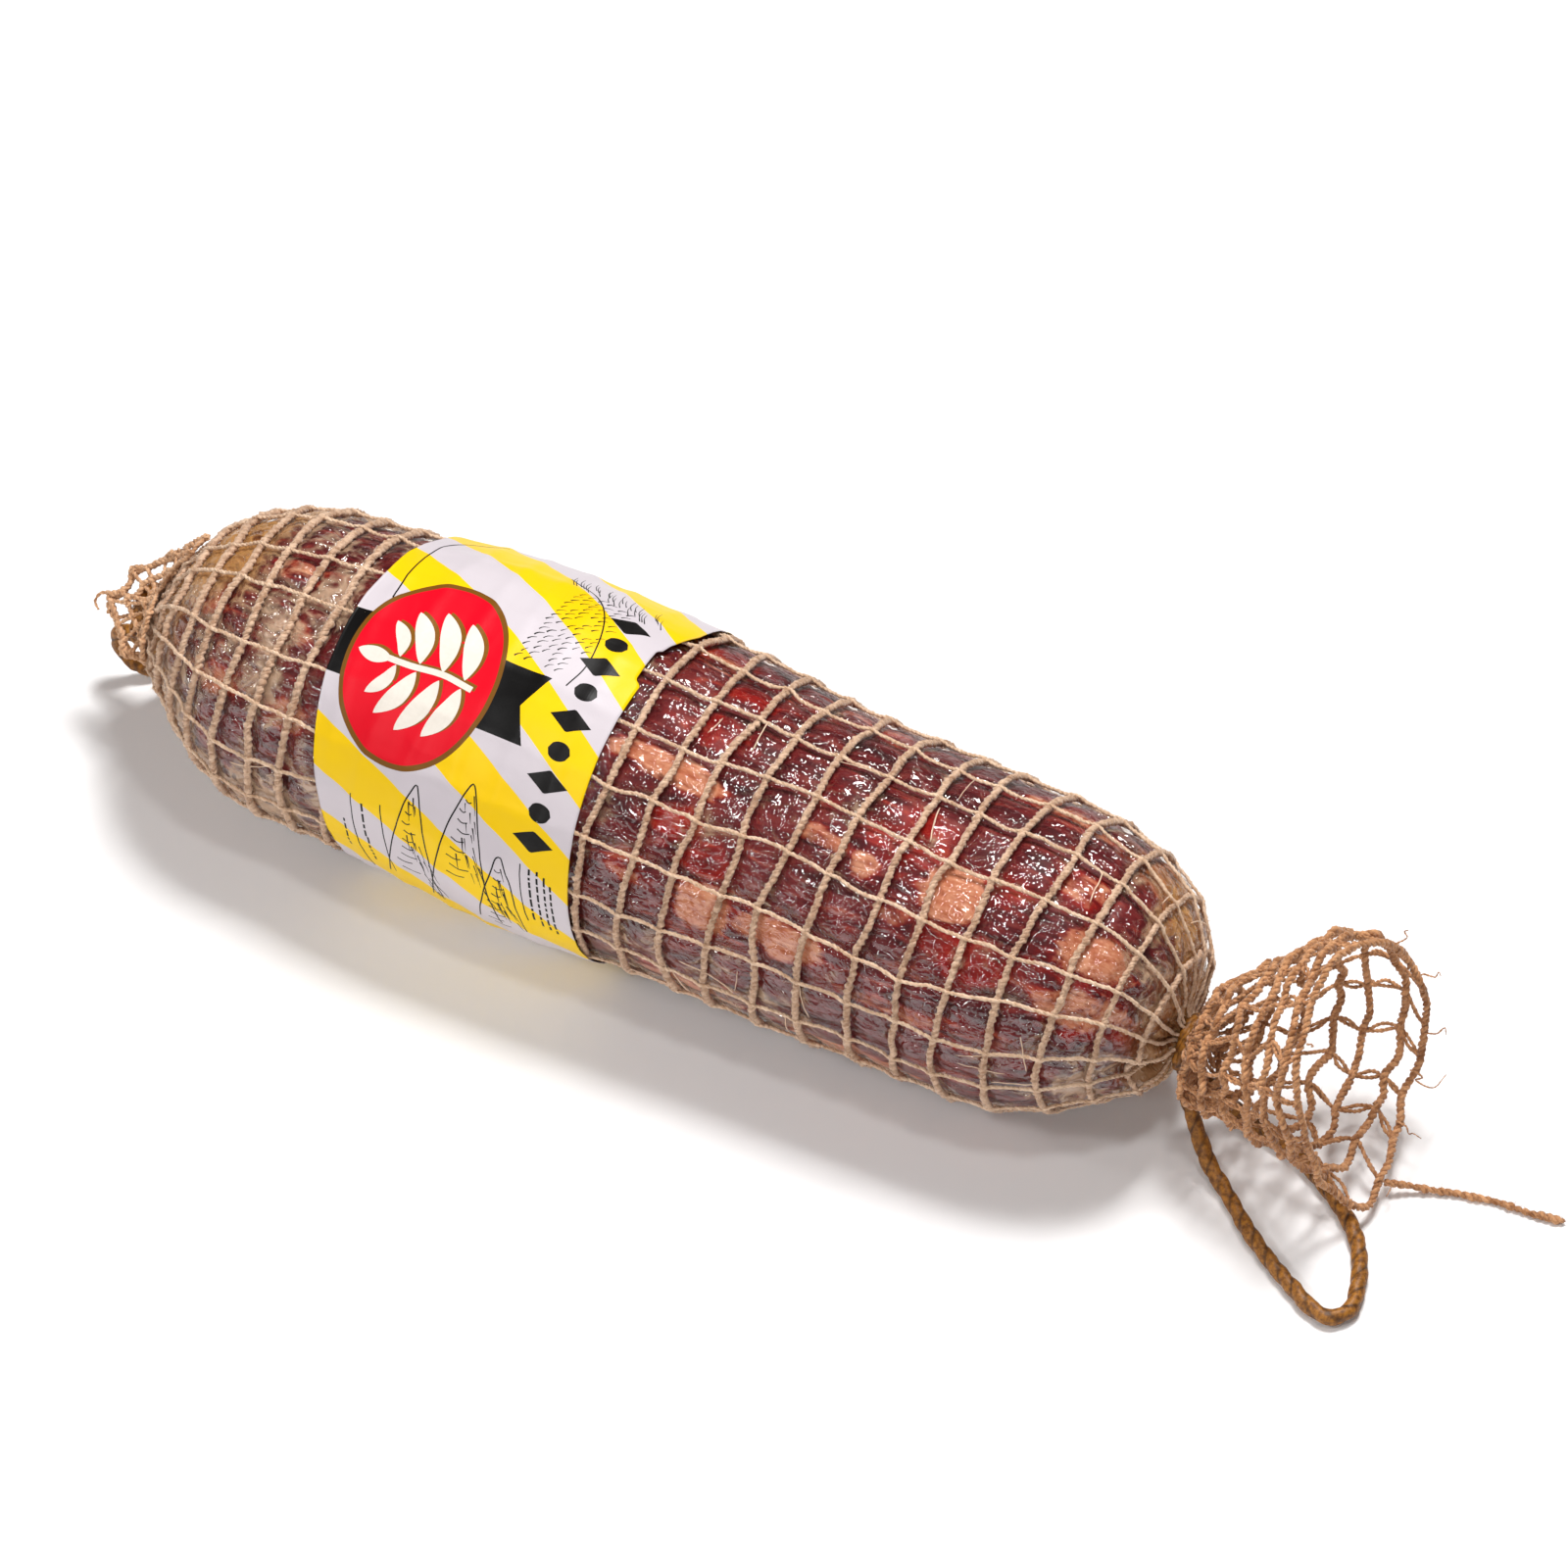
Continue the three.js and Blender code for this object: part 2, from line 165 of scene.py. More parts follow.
def frames_along(p, closed=False, up=None):
    """Tangent, normal and binormal at each point of a line. With up, the normal leans to it; without, it is carried along."""
    if closed:
        t = unit(np.roll(p, -1, 0) - np.roll(p, 1, 0))
    else:
        t = unit(np.gradient(p, axis=0))
    if up is None:
        n = np.zeros_like(p)
        a = np.array([0, 0, 1.0]) if abs(t[0, 2]) < 0.9 else np.array([0, 1.0, 0])
        n[0] = unit(a - t[0] * (a @ t[0]))
        for i in range(1, len(p)):
            m = n[i - 1] - t[i] * (n[i - 1] @ t[i])
            n[i] = m / max(np.linalg.norm(m), 1e-9)
    else:
        up = np.broadcast_to(up, p.shape)
        n = unit(up - t * (up * t).sum(1, keepdims=True))
    return t, n, np.cross(t, n)


def sweep(soup, p, radius, sides=6, closed=False, up=None, flat=1.0, twist=None, **attrs):
    """A tube along p. radius is a number, (n,) or (n, sides). flat squashes it along the normal."""
    p = np.asarray(p, float)
    n = len(p)
    _, nn, bb = frames_along(p, closed, up)
    th = 2 * np.pi * np.arange(sides) / sides
    r = np.asarray(radius, float)
    r = np.broadcast_to(r[:, None] if r.ndim == 1 else r, (n, sides))
    ang = th[None, :] + (0 if twist is None else np.asarray(twist)[:, None])
    ring = p[:, None, :] + (r * np.cos(ang))[..., None] * nn[:, None, :] * flat + (r * np.sin(ang))[..., None] * bb[:, None, :]
    v = ring.reshape(-1, 3)
    q = grid_faces(n, sides)
    per = {k: np.repeat(np.broadcast_to(val, (n,)), sides) for k, val in attrs.items()}
    if closed:
        j = np.arange(sides)
        k = (j + 1) % sides
        last = (n - 1) * sides
        q = np.concatenate([q, np.stack([last + j, last + k, k, j], -1)])
        soup.add(v, q, None, **per)
        return
    v = np.concatenate([v, p[:1], p[-1:]])
    j = np.arange(sides)
    k = (j + 1) % sides
    t0 = np.stack([np.full(sides, n * sides), j, k], -1)[:, ::-1]
    t1 = np.stack([np.full(sides, n * sides + 1), (n - 1) * sides + k, (n - 1) * sides + j], -1)[:, ::-1]
    per = {kk: np.concatenate([vv, vv[:1], vv[-1:]]) for kk, vv in per.items()}
    soup.add(v, q, np.concatenate([t0, t1]), **per)


def arclen(p, closed=False):
    d = np.linalg.norm(np.diff(p, axis=0), axis=1)
    return np.concatenate([[0], np.cumsum(d)])


def resample(p, step=None, n=None, closed=False):
    p = np.asarray(p, float)
    if closed:
        p = np.vstack([p, p[:1]])
    s = arclen(p)
    n = n or max(4, int(round(s[-1] / step)) + 1)
    at = np.linspace(0, s[-1], n + 1 if closed else n)
    if closed:
        at = at[:-1]
    return np.stack([np.interp(at, s, p[:, k]) for k in range(3)], 1)


def catmull(points, per=12, closed=False):
    """Centripetal-like smooth line through points."""
    p = np.asarray(points, float)
    if closed:
        q = np.vstack([p[-1], p, p[0], p[1]])
        m = len(p)
    else:
        q = np.vstack([2 * p[0] - p[1], p, 2 * p[-1] - p[-2]])
        m = len(p) - 1
    out = []
    for i in range(m):
        p0, p1, p2, p3 = q[i], q[i + 1], q[i + 2], q[i + 3]
        t0 = 0.0
        t1 = t0 + max(np.linalg.norm(p1 - p0), 1e-6) ** 0.5
        t2 = t1 + max(np.linalg.norm(p2 - p1), 1e-6) ** 0.5
        t3 = t2 + max(np.linalg.norm(p3 - p2), 1e-6) ** 0.5
        t = np.linspace(t1, t2, per, endpoint=False)[:, None]
        a1 = (t1 - t) / (t1 - t0) * p0 + (t - t0) / (t1 - t0) * p1
        a2 = (t2 - t) / (t2 - t1) * p1 + (t - t1) / (t2 - t1) * p2
        a3 = (t3 - t) / (t3 - t2) * p2 + (t - t2) / (t3 - t2) * p3
        b1 = (t2 - t) / (t2 - t0) * a1 + (t - t0) / (t2 - t0) * a2
        b2 = (t3 - t) / (t3 - t1) * a2 + (t - t1) / (t3 - t1) * a3
        out.append((t2 - t) / (t2 - t1) * b1 + (t - t1) / (t2 - t1) * b2)
    if not closed:
        out.append(p[-1:])
    return np.concatenate(out)


def plied(soup, p, ply_r, orbit, pitch, sides=6, plies=2, closed=False, up=None, seed=0, rough=0.18, flat=1.0, wander=0.0, taper=None, **attrs):
    """A twisted yarn of plies round the line p, with uneven fibres."""
    p = np.asarray(p, float)
    n = len(p)
    s = arclen(p)
    total = s[-1] + (np.linalg.norm(p[0] - p[-1]) if closed else 0)
    turns = max(1, round(total / pitch)) if closed else total / pitch
    _, nn, bb = frames_along(p, closed, up)
    rng = np.random.default_rng(seed)
    if wander:
        z = np.full((n, 3), 7.3 * seed)
        z[:, 0] += s / 5.0 if not closed else 3 * np.cos(2 * np.pi * s / total)
        z[:, 1] += 0 if not closed else 3 * np.sin(2 * np.pi * s / total)
        p = p + wander * (fbm(z, 2, seed)[:, None] * bb + 0.5 * fbm(z + 40, 2, seed)[:, None] * nn)
    ph0 = rng.uniform(0, 2 * np.pi)
    tp = np.ones(n) if taper is None else taper
    for k in range(plies):
        th = ph0 + 2 * np.pi * (k / plies + turns * s / max(total, 1e-9))
        off = orbit * tp[:, None] * (flat * np.cos(th)[:, None] * nn + np.sin(th)[:, None] * bb)
        c = p + off
        zz = np.stack([s * 0.9 + 11 * k, np.full(n, seed * 1.7), np.full(n, 5.0 * k)], 1)
        if closed:
            zz = np.stack([30 * np.cos(2 * np.pi * s / total) + 50 * k, 30 * np.sin(2 * np.pi * s / total), np.full(n, seed * 1.7)], 1)
        base = ply_r * (1 + rough * fbm(zz, 2, seed + 3))
        side = rng.normal(0, 0.10, (n, sides))
        r = (base[:, None] * (1 + side)) * tp[:, None]
        sweep(soup, c, r, sides, closed, up, shade=noise3(zz * 0.7 + 9, seed) * 0.5 + 0.5, **attrs)


def fuzz(soup, pts, nrm, count, length, thick, seed, shade=0.8):
    """Stray fibres: thin curved spikes rooted at points picked from pts."""
    rng = np.random.default_rng(seed)
    i = rng.integers(0, len(pts), count)
    base = pts[i]
    d = unit(nrm[i] * rng.uniform(0.1, 1.0, (count, 1)) + rng.normal(0, 0.55, (count, 3)))
    e = unit(np.cross(d, rng.normal(0, 1, (count, 3))))
    f = np.cross(d, e)
    ln = length * rng.uniform(0.35, 1.25, (count, 1))
    bend = e * rng.normal(0, 0.45, (count, 1)) * ln
    mid, tip = base + d * ln * 0.55 + bend * 0.35, base + d * ln + bend
    v = []
    for c, w in ((base, thick), (mid, thick * 0.7)):
        for a in (0, 2.094, 4.189):
            v.append(c + w * (math.cos(a) * e + math.sin(a) * f))
    v.append(tip)
    v = np.stack(v, 1).reshape(-1, 3)
    b = np.arange(count)[:, None] * 7
    q = np.concatenate([b + np.array([[j, (j + 1) % 3, 3 + (j + 1) % 3, 3 + j]]) for j in range(3)])
    t = np.concatenate([b + np.array([[3 + j, 3 + (j + 1) % 3, 6]]) for j in range(3)] + [b + np.array([[2, 1, 0]])])
    soup.add(v, q, t, shade=shade)


# ---- materials -----------------------------------------------------------------------------------
def rgb(r, g, b):
    """sRGB bytes to a linear colour."""
    f = lambda c: (c / 255 / 12.92) if c / 255 <= 0.04045 else ((c / 255 + 0.055) / 1.055) ** 2.4
    return (f(r), f(g), f(b), 1.0)


class Mat:
    def __init__(self, name, roughness=0.6, **sockets):
        self.m = bpy.data.materials.new(name)
        self.m.use_nodes = True
        self.nt = self.m.node_tree
        self.nt.nodes.clear()
        self.out = self.nt.nodes.new("ShaderNodeOutputMaterial")
        self.b = self.nt.nodes.new("ShaderNodeBsdfPrincipled")
        self.b.inputs["Roughness"].default_value = roughness
        for k, v in sockets.items():
            self.b.inputs[k.replace("_", " ")].default_value = v
        self.nt.links.new(self.b.outputs[0], self.out.inputs[0])

    def new(self, kind, **props):
        n = self.nt.nodes.new(kind)
        for k, v in props.items():
            setattr(n, k, v)
        return n

    def link(self, a, b):
        self.nt.links.new(a, b)

    def put(self, socket, value):
        if hasattr(value, "is_output"):
            self.link(value, socket)
        else:
            socket.default_value = value

    def coord(self, scale=(1, 1, 1)):
        tc = self.new("ShaderNodeTexCoord")
        mp = self.new("ShaderNodeMapping")
        mp.inputs["Scale"].default_value = scale
        self.link(tc.outputs["Object"], mp.inputs["Vector"])
        return mp.outputs[0]

    def noise(self, vec, scale, detail=3, rough=0.5, distortion=0.0):
        n = self.new("ShaderNodeTexNoise")
        self.link(vec, n.inputs["Vector"])
        n.inputs["Scale"].default_value = scale
        n.inputs["Detail"].default_value = detail
        n.inputs["Roughness"].default_value = rough
        n.inputs["Distortion"].default_value = distortion
        return n.outputs[0]

    def voronoi(self, vec, scale, feature="F1"):
        n = self.new("ShaderNodeTexVoronoi", feature=feature)
        self.link(vec, n.inputs["Vector"])
        n.inputs["Scale"].default_value = scale
        return n.outputs["Distance"]

    def attr(self, name):
        n = self.new("ShaderNodeAttribute", attribute_name=name)
        return n.outputs["Fac"]

    def math(self, op, a, b=0.0, c=0.0, clamp=False):
        n = self.new("ShaderNodeMath", operation=op, use_clamp=clamp)
        for s, v in zip(n.inputs, (a, b, c)):
            self.put(s, v)
        return n.outputs[0]

    def remap(self, v, a, b, c=0.0, d=1.0):
        n = self.new("ShaderNodeMapRange", interpolation_type="SMOOTHSTEP")
        self.put(n.inputs[0], v)
        for s, x in zip(n.inputs[1:5], (a, b, c, d)):
            s.default_value = x
        return n.outputs[0]

    def mix(self, fac, a, b, blend="MIX"):
        n = self.new("ShaderNodeMix", data_type="RGBA", blend_type=blend)
        self.put(n.inputs[0], fac)
        self.put(n.inputs[6], a)
        self.put(n.inputs[7], b)
        return n.outputs[2]

    def ramp(self, v, stops):
        n = self.new("ShaderNodeValToRGB")
        self.link(v, n.inputs[0])
        el = n.color_ramp.elements
        while len(el) < len(stops):
            el.new(0.5)
        for e, (p, c) in zip(el, stops):
            e.position, e.color = p, c
        return n.outputs[0]

    def bump(self, height, strength, distance, normal=None):
        n = self.new("ShaderNodeBump")
        n.inputs["Strength"].default_value = strength
        n.inputs["Distance"].default_value = distance
        self.link(height, n.inputs["Height"])
        if normal is not None:
            self.link(normal, n.inputs["Normal"])
        return n.outputs[0]


# ---- camera --------------------------------------------------------------------------------------
AZ, EL = math.radians(28.5), math.radians(48.5)
TO_CAM = np.array([math.sin(AZ) * math.cos(EL), -math.cos(AZ) * math.cos(EL), math.sin(EL)])
RIGHT = np.array([math.cos(AZ), math.sin(AZ), 0.0])
UP = np.array([-math.sin(AZ) * math.sin(EL), math.cos(AZ) * math.sin(EL), math.cos(EL)])
aim = metres([0, 0, 43.5]) + (35.4 * RIGHT + 3.7 * UP) / 1000
cam_data = bpy.data.cameras.new("camera")
cam_data.lens, cam_data.sensor_width = 300, 36
cam = bpy.data.objects.new("camera", cam_data)
scene.collection.objects.link(cam)
cam.location = Vector(aim + TO_CAM * (300 * 0.4145 / 36))
cam.rotation_mode = "QUATERNION"
cam.rotation_quaternion = (-Vector(TO_CAM)).to_track_quat("-Z", "Y")
cam_data.clip_start, cam_data.clip_end = 0.1, 50
scene.camera = cam
scene.view_settings.view_transform = "Standard"

# ---- string materials ----------------------------------------------------------------------------
def yarn_material(name, light, dark, rough=0.85, fibre=900.0):
    m = Mat(name, rough)
    v = m.coord((1, 1, 1))
    big = m.noise(v, 70.0, 3)
    fine = m.noise(v, fibre, 2, 0.6)
    shade = m.attr("shade")
    f = m.math("ADD", m.math("MULTIPLY", fine, 0.55), m.math("MULTIPLY", big, 0.25))
    f = m.math("ADD", f, m.math("MULTIPLY", shade, 0.25), clamp=True)
    col = m.mix(m.remap(f, 0.30, 0.75), dark, light)
    m.link(col, m.b.inputs["Base Color"])
    m.link(m.bump(fine, 0.6, 0.0004), m.b.inputs["Normal"])
    m.b.inputs["Sheen Weight"].default_value = 0.25
    m.b.inputs["Sheen Roughness"].default_value = 0.5
    m.b.inputs["Specular IOR Level"].default_value = 0.25
    return m


cotton = yarn_material("cotton_net", rgb(222, 190, 162), rgb(158, 120, 92))
cotton_long = yarn_material("cotton_net_long", rgb(234, 206, 178), rgb(184, 146, 114))
browned = yarn_material("browned_net", rgb(216, 162, 116), rgb(132, 82, 44))

twine = Mat("brown_twine", 0.5)
_v = twine.coord((1, 1, 1))
_f = twine.noise(_v, 700.0, 3, 0.65)
_g = twine.attr("groove")
_c = twine.mix(twine.remap(_f, 0.3, 0.7), rgb(100, 58, 14), rgb(168, 110, 36))
# painted shade: the spiral grooves between the twisted strips are coloured dark brown
_c = twine.mix(_g, _c, rgb(52, 28, 8))
twine.link(_c, twine.b.inputs["Base Color"])
twine.link(twine.bump(_f, 0.5, 0.0004), twine.b.inputs["Normal"])
twine.b.inputs["Specular IOR Level"].default_value = 0.4


def twisted_string(soup, p, d, pitch=13.0, seed=0, lobes=2, step=0.7, ends=True):
    """A string of flat strips twisted hard: one tube with spiral grooves. Its middle line is p."""
    p = resample(p, step)
    n, sides = len(p), 20
    s = arclen(p)
    th = 2 * np.pi * np.arange(sides) / sides
    turn = 2 * np.pi * s / pitch + 0.5 * noise3(np.stack([s / 14, s * 0 + seed, s * 0], 1), seed)
    ang = th[None, :] - turn[:, None]
    lobe = np.abs(np.cos(lobes * ang / 2)) ** 0.7
    z = np.stack([np.cos(ang) * 1.6 + 5, np.sin(ang) * 1.6 + seed, np.broadcast_to(s[:, None] / 7, ang.shape)], -1)
    fib = fbm(z.reshape(-1, 3), 2, seed).reshape(ang.shape)
    r = d / 2 * (0.84 + 0.20 * lobe + 0.07 * fib)
    wide = 1 + 0.06 * noise3(np.stack([s / 9, s * 0 + 3 + seed, s * 0], 1), seed + 1)
    r = r * wide[:, None]
    if ends:
        r = r * np.minimum(1, np.minimum(0.55 + s / 2.0, 0.55 + (s[-1] - s) / 2.0))[:, None]
    # mask of the spiral grooves, used to paint shade into them
    groove = np.clip(1 - lobe * 1.6, 0, 1)
    _, nn, bb = frames_along(p)
    ring = p[:, None] + (r * np.cos(th))[..., None] * nn[:, None] + (r * np.sin(th))[..., None] * bb[:, None]
    v = np.concatenate([ring.reshape(-1, 3), p[:1], p[-1:]])
    q = grid_faces(n, sides)
    j = np.arange(sides)
    k = (j + 1) % sides
    t = np.concatenate([
        np.stack([np.full(sides, n * sides), j, k], -1)[:, ::-1],
        np.stack([np.full(sides, n * sides + 1), (n - 1) * sides + k, (n - 1) * sides + j], -1)[:, ::-1],
    ])
    soup.add(v, q, t, groove=np.concatenate([groove.ravel(), [0.5, 0.5]]), shade=0.5)
    return p


# ---- the cords: the same routes as the part's own solids ------------------------------------------
STRING_D, THREAD_D = 4.3, 2.0
LOOP_RIGHT = [
    [161.3, -2.7, 20.4], [162.6, -4.3, 18.6], [165.4, -6.8, 15.4], [169.4, -9.4, 9.0], [174.2, -12.6, 4.4], [179.2, -15.6, 2.7],
    [184.4, -19.6, 2.5], [193.2, -26.6, 2.5], [203.4, -33.2, 2.5], [212.2, -38.0, 2.5], [218.6, -41.2, 2.5],
    [224.2, -41.6, 2.5], [227.4, -37.0, 2.5], [226.4, -31.0, 2.5], [223.6, -23.6, 2.5], [218.6, -15.4, 2.5], [211.8, -8.8, 2.5], [204.0, -3.4, 2.5],
    [195.6, 1.2, 2.5], [187.3, 4.4, 2.5], [179.6, 6.2, 3.0], [172.6, 6.8, 5.6], [167.0, 5.8, 10.6], [163.2, 4.0, 16.4], [161.3, 2.7, 20.4],
]
LOOP_LEFT = [
    [-153.6, 2.4, 23.4], [-154.2, 2.6, 21.8], [-157.4, 2.6, 20.0], [-161.8, 2.8, 20.6], [-165.2, 3.0, 18.8], [-166.0, 3.2, 14.6],
    [-164.0, 4.0, 9.4], [-160.8, 6.0, 4.6], [-156.4, 9.2, 2.7], [-151.0, 16.0, 2.5], [-146.0, 25.0, 2.5], [-141.6, 35.0, 2.5],
    [-138.6, 45.0, 2.5], [-136.4, 53.0, 2.5], [-131.8, 58.4, 2.5], [-125.0, 57.6, 2.5], [-122.4, 51.0, 2.5], [-125.0, 42.0, 2.5],
    [-129.4, 33.0, 2.5], [-135.2, 24.4, 2.5], [-141.8, 16.2, 3.0], [-147.4, 9.6, 6.4], [-150.8, 4.6, 13.0], [-153.2, -0.6, 19.6],
    [-153.6, -2.4, 23.4],
]
THREAD = [
    [216.9, 4.2, 4.4], [220.4, 6.6, 3.2], [226.6, 9.6, 1.8], [234.4, 12.6, 1.2], [244.5, 14.8, 1.2], [255.4, 15.8, 1.2], [264.6, 17.9, 1.2],
]


def declare_cord(line):
    pts = metres(line)
    length = float(np.linalg.norm(np.diff(pts, axis=0), axis=1).sum())
    return length


CORD_LENGTHS = {}
for name, pts, seed in (("hanging_loop_right", LOOP_RIGHT, 3), ("hanging_loop_left", LOOP_LEFT, 8)):
    soup = Soup()
    line = twisted_string(soup, catmull(pts, 14), STRING_D, seed=seed)
    ob = soup.build(name + "_string", twine.m)
    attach(ob, "root")
    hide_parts(name)
    CORD_LENGTHS[name] = declare_cord(line)

soup = Soup()
line = resample(catmull(THREAD, 14), 0.5)[:-4]
_s = arclen(line)
_knob = 1 + 0.28 * np.clip(noise3(np.stack([_s / 2.6, _s * 0, _s * 0], 1), 5), -0.4, 1)
plied(soup, line, 0.58, 0.46, 4.2, sides=7, seed=21, rough=0.35, taper=_knob * np.minimum(1, 0.5 + (_s[-1] - _s) / 3), wander=0.25)
_rng = np.random.default_rng(4)
for k in range(9):  # the frayed end
    a = line[-1 - k % 3]
    d = unit(np.array([[_rng.uniform(0.3, 1), _rng.normal(0, 0.35), _rng.normal(0.02, 0.12)]]))[0]
    tip = a + d * _rng.uniform(0.2, 0.6)
    tip[2] = max(tip[2], 0.4)
    sweep(soup, np.linspace(a, tip, 5) + _rng.normal(0, 0.08, (5, 3)), np.linspace(0.2, 0.06, 5), 4, shade=0.4)
t_, n_, b_ = frames_along(line)
fuzz(soup, line + n_ * 0.7, n_, 70, 1.6, 0.045, 9, 0.5)
ob = soup.build("loose_net_thread", browned.m)
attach(ob, "root")
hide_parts("loose_thread")
CORD_LENGTHS["loose_thread"] = declare_cord(line)

# ---- the body's surface --------------------------------------------------------------------------
POLE_L, POLE_R, CAP_L, CAP_R = -152.0, 162.0, -100.0, 108.0
GIRTH = np.array([[-100, 43.6], [-88, 44.3], [-76, 45.0], [-60, 46.2], [-40, 47.0], [-20, 47.0], [0, 46.4], [22, 45.6], [44, 44.9], [66, 44.7], [88, 44.0], [108, 43.2]])


def girth(x):
    return np.interp(x, GIRTH[:, 0], GIRTH[:, 1])


def outer_radius(x):
    x = np.asarray(x, float)
    tl = np.clip((CAP_L - x) / (CAP_L - POLE_L), 0, 1)
    tr = np.clip((x - CAP_R) / (POLE_R - CAP_R), 0, 1)
    return girth(x) * (1 - tl**1.62) ** (1 / 1.62) * np.sqrt(1 - tr**2)


_xs = np.concatenate([np.linspace(-151.4, -140, 60), np.arange(-139.5, 150, 0.5), np.linspace(150, 159.0, 60)])
_pr = np.stack([_xs, outer_radius(_xs)], 1)
_pr = np.vstack([[[-159.0, 4.6], [-156.0, 4.7], [-153.6, 4.8]], _pr, [[159.5, 12.2], [159.3, 9.6], [159.2, 7.4], [159.9, 5.6], [161.6, 5.0], [164.0, 4.8]]])
_len = np.concatenate([[0], np.cumsum(np.linalg.norm(np.diff(_pr, axis=0), axis=1))])
_u = np.arange(0, _len[-1], 0.25)
_px, _prr = np.interp(_u, _len, _pr[:, 0]), np.interp(_u, _len, _pr[:, 1])
_k = np.exp(-0.5 * (np.arange(-24, 25) / 7.0) ** 2)
_k /= _k.sum()
PX = np.convolve(np.pad(_px, 24, mode="edge"), _k, "valid")
PR = np.convolve(np.pad(_prr, 24, mode="edge"), _k, "valid")
PU = np.concatenate([[0], np.cumsum(np.hypot(np.diff(PX), np.diff(PR)))])
_dx, _dr = np.gradient(PX, PU), np.gradient(PR, PU)
_l = np.hypot(_dx, _dr)
PNX, PNR = -_dr / _l, _dx / _l
U_END = PU[-1]


def x_of(u):
    return np.interp(u, PU, PX)


def r_of(u):
    return np.interp(u, PU, PR)


def u_of(x):
    """u where the profile's x is x, on the straight part and the ends' outsides."""
    m = PX <= 158.6
    i = np.argmax(PX > 158.6) if (PX > 158.6).any() else len(PX)
    return np.interp(x, PX[:i], PU[:i])


def lump(x, a):
    return 1 + 0.012 * np.sin(0.045 * x + 2 * a + 0.6) + 0.008 * np.sin(0.083 * x - 3 * a + 2.1) + 0.006 * np.sin(0.06 * x + a)


def body(u, a, h):
    """The point at profile place u, angle a and height h over the net's outermost surface."""
    u, a, h = np.broadcast_arrays(*(np.asarray(q, float) for q in (u, a, h)))
    x, r = x_of(u), r_of(u)
    nx, nr = np.interp(u, PU, PNX), np.interp(u, PU, PNR)
    near, free = sstep(r, 8, 22), sstep(np.sin(a), -0.98, -0.6)
    k = 1 + (lump(x, a) - 1) * near * free
    neck = 1 - sstep(r, 7, 38)
    end = sstep(np.maximum(-x + POLE_L, x - POLE_R), -24, -6)
    lift = 2.6 * sstep(-x, 104, 150) + 3.6 * sstep(x, 96, 148) - np.where(x < 0, 7.4, 10.0) * neck * end
    mid = girth(np.clip(x, CAP_L, CAP_R)) - 1.2 + lift
    rr = r + nr * h
    low = mid + r * np.sin(a) * k
    press = np.where(r > 20, np.maximum(0, -low), 0)
    # the right-hand end bulges further at its upper back
    lean = 3.6 * sstep(x, 112, 152) * sstep(r, 10, 26) * (0.5 + 0.5 * np.sin(a + 0.35))
    X = x + nx * h + lean
    Y = rr * k * np.cos(a)
    Z = mid + rr * k * np.sin(a) + press
    return np.stack([X, Y, np.maximum(Z, 0.02)], -1)


# ---- where the net's cords run -------------------------------------------------------------------
RING_X = [-147.6, -142.5, -136.0, -128.4, -119.4, -109.2, -98.4, -87.2, -75.5, -63.0, -50.0, -37.0, -24.0, -10.8, 2.9, 16.2, 28.9, 41.5, 54.8, 68.5, 82.3, 95.0, 108.2, 122.3, 135.0, 146.6, 155.4]
RING_U = np.array([float(u_of(x)) for x in RING_X])
LONG_DEG = [2, 24, 45, 66, 87, 107, 130, 151, 170, 190, 211, 232, 253, 274, 296, 318, 340]
LONG_A = np.radians(LONG_DEG)
NLONG = len(LONG_A)


def ring_u(i, a):
    """Profile place of ring i at angle a."""
    a = np.asarray(a, float)
    w = np.stack([1.9 * np.cos(a) + 3.1 * i, 1.9 * np.sin(a), np.full(a.shape, 0.77 * i)], -1)
    w2 = np.stack([5.5 * np.cos(a) + 1.3 * i, 5.5 * np.sin(a), np.full(a.shape, 4.1 + 0.9 * i)], -1)
    tilt = 1.5 * np.cos(a - math.radians(60))
    edge = 0.35 if i < 2 or i > len(RING_U) - 3 else 1.0
    return RING_U[i] + (tilt + 1.5 * noise3(w, 5) + 0.55 * noise3(w2, 6)) * edge


def long_a(j, u):
    """Angle of lengthwise cord j at profile place u."""
    u = np.asarray(u, float)
    w = np.stack([u / 38.0, np.full(u.shape, 3.7 * j), np.full(u.shape, 1.0)], -1)
    w2 = np.stack([u / 9.0, np.full(u.shape, 2.3 * j), np.full(u.shape, 8.0)], -1)
    return LONG_A[j] + 0.05 * noise3(w, 9) + 0.016 * noise3(w2, 10)


def cell_field(u, a):
    """Distances in mm to the nearest ring and the nearest lengthwise cord."""
    dr = np.full(u.shape, 99.0)
    for i in range(len(RING_U)):
        dr = np.minimum(dr, np.abs(u - ring_u(i, a)))
    r = np.maximum(r_of(u), 3)
    dl = np.full(u.shape, 99.0)
    for j in range(NLONG):
        d = np.abs((a - long_a(j, u) + np.pi) % (2 * np.pi) - np.pi) * r
        dl = np.minimum(dl, d)
    return dr, dl


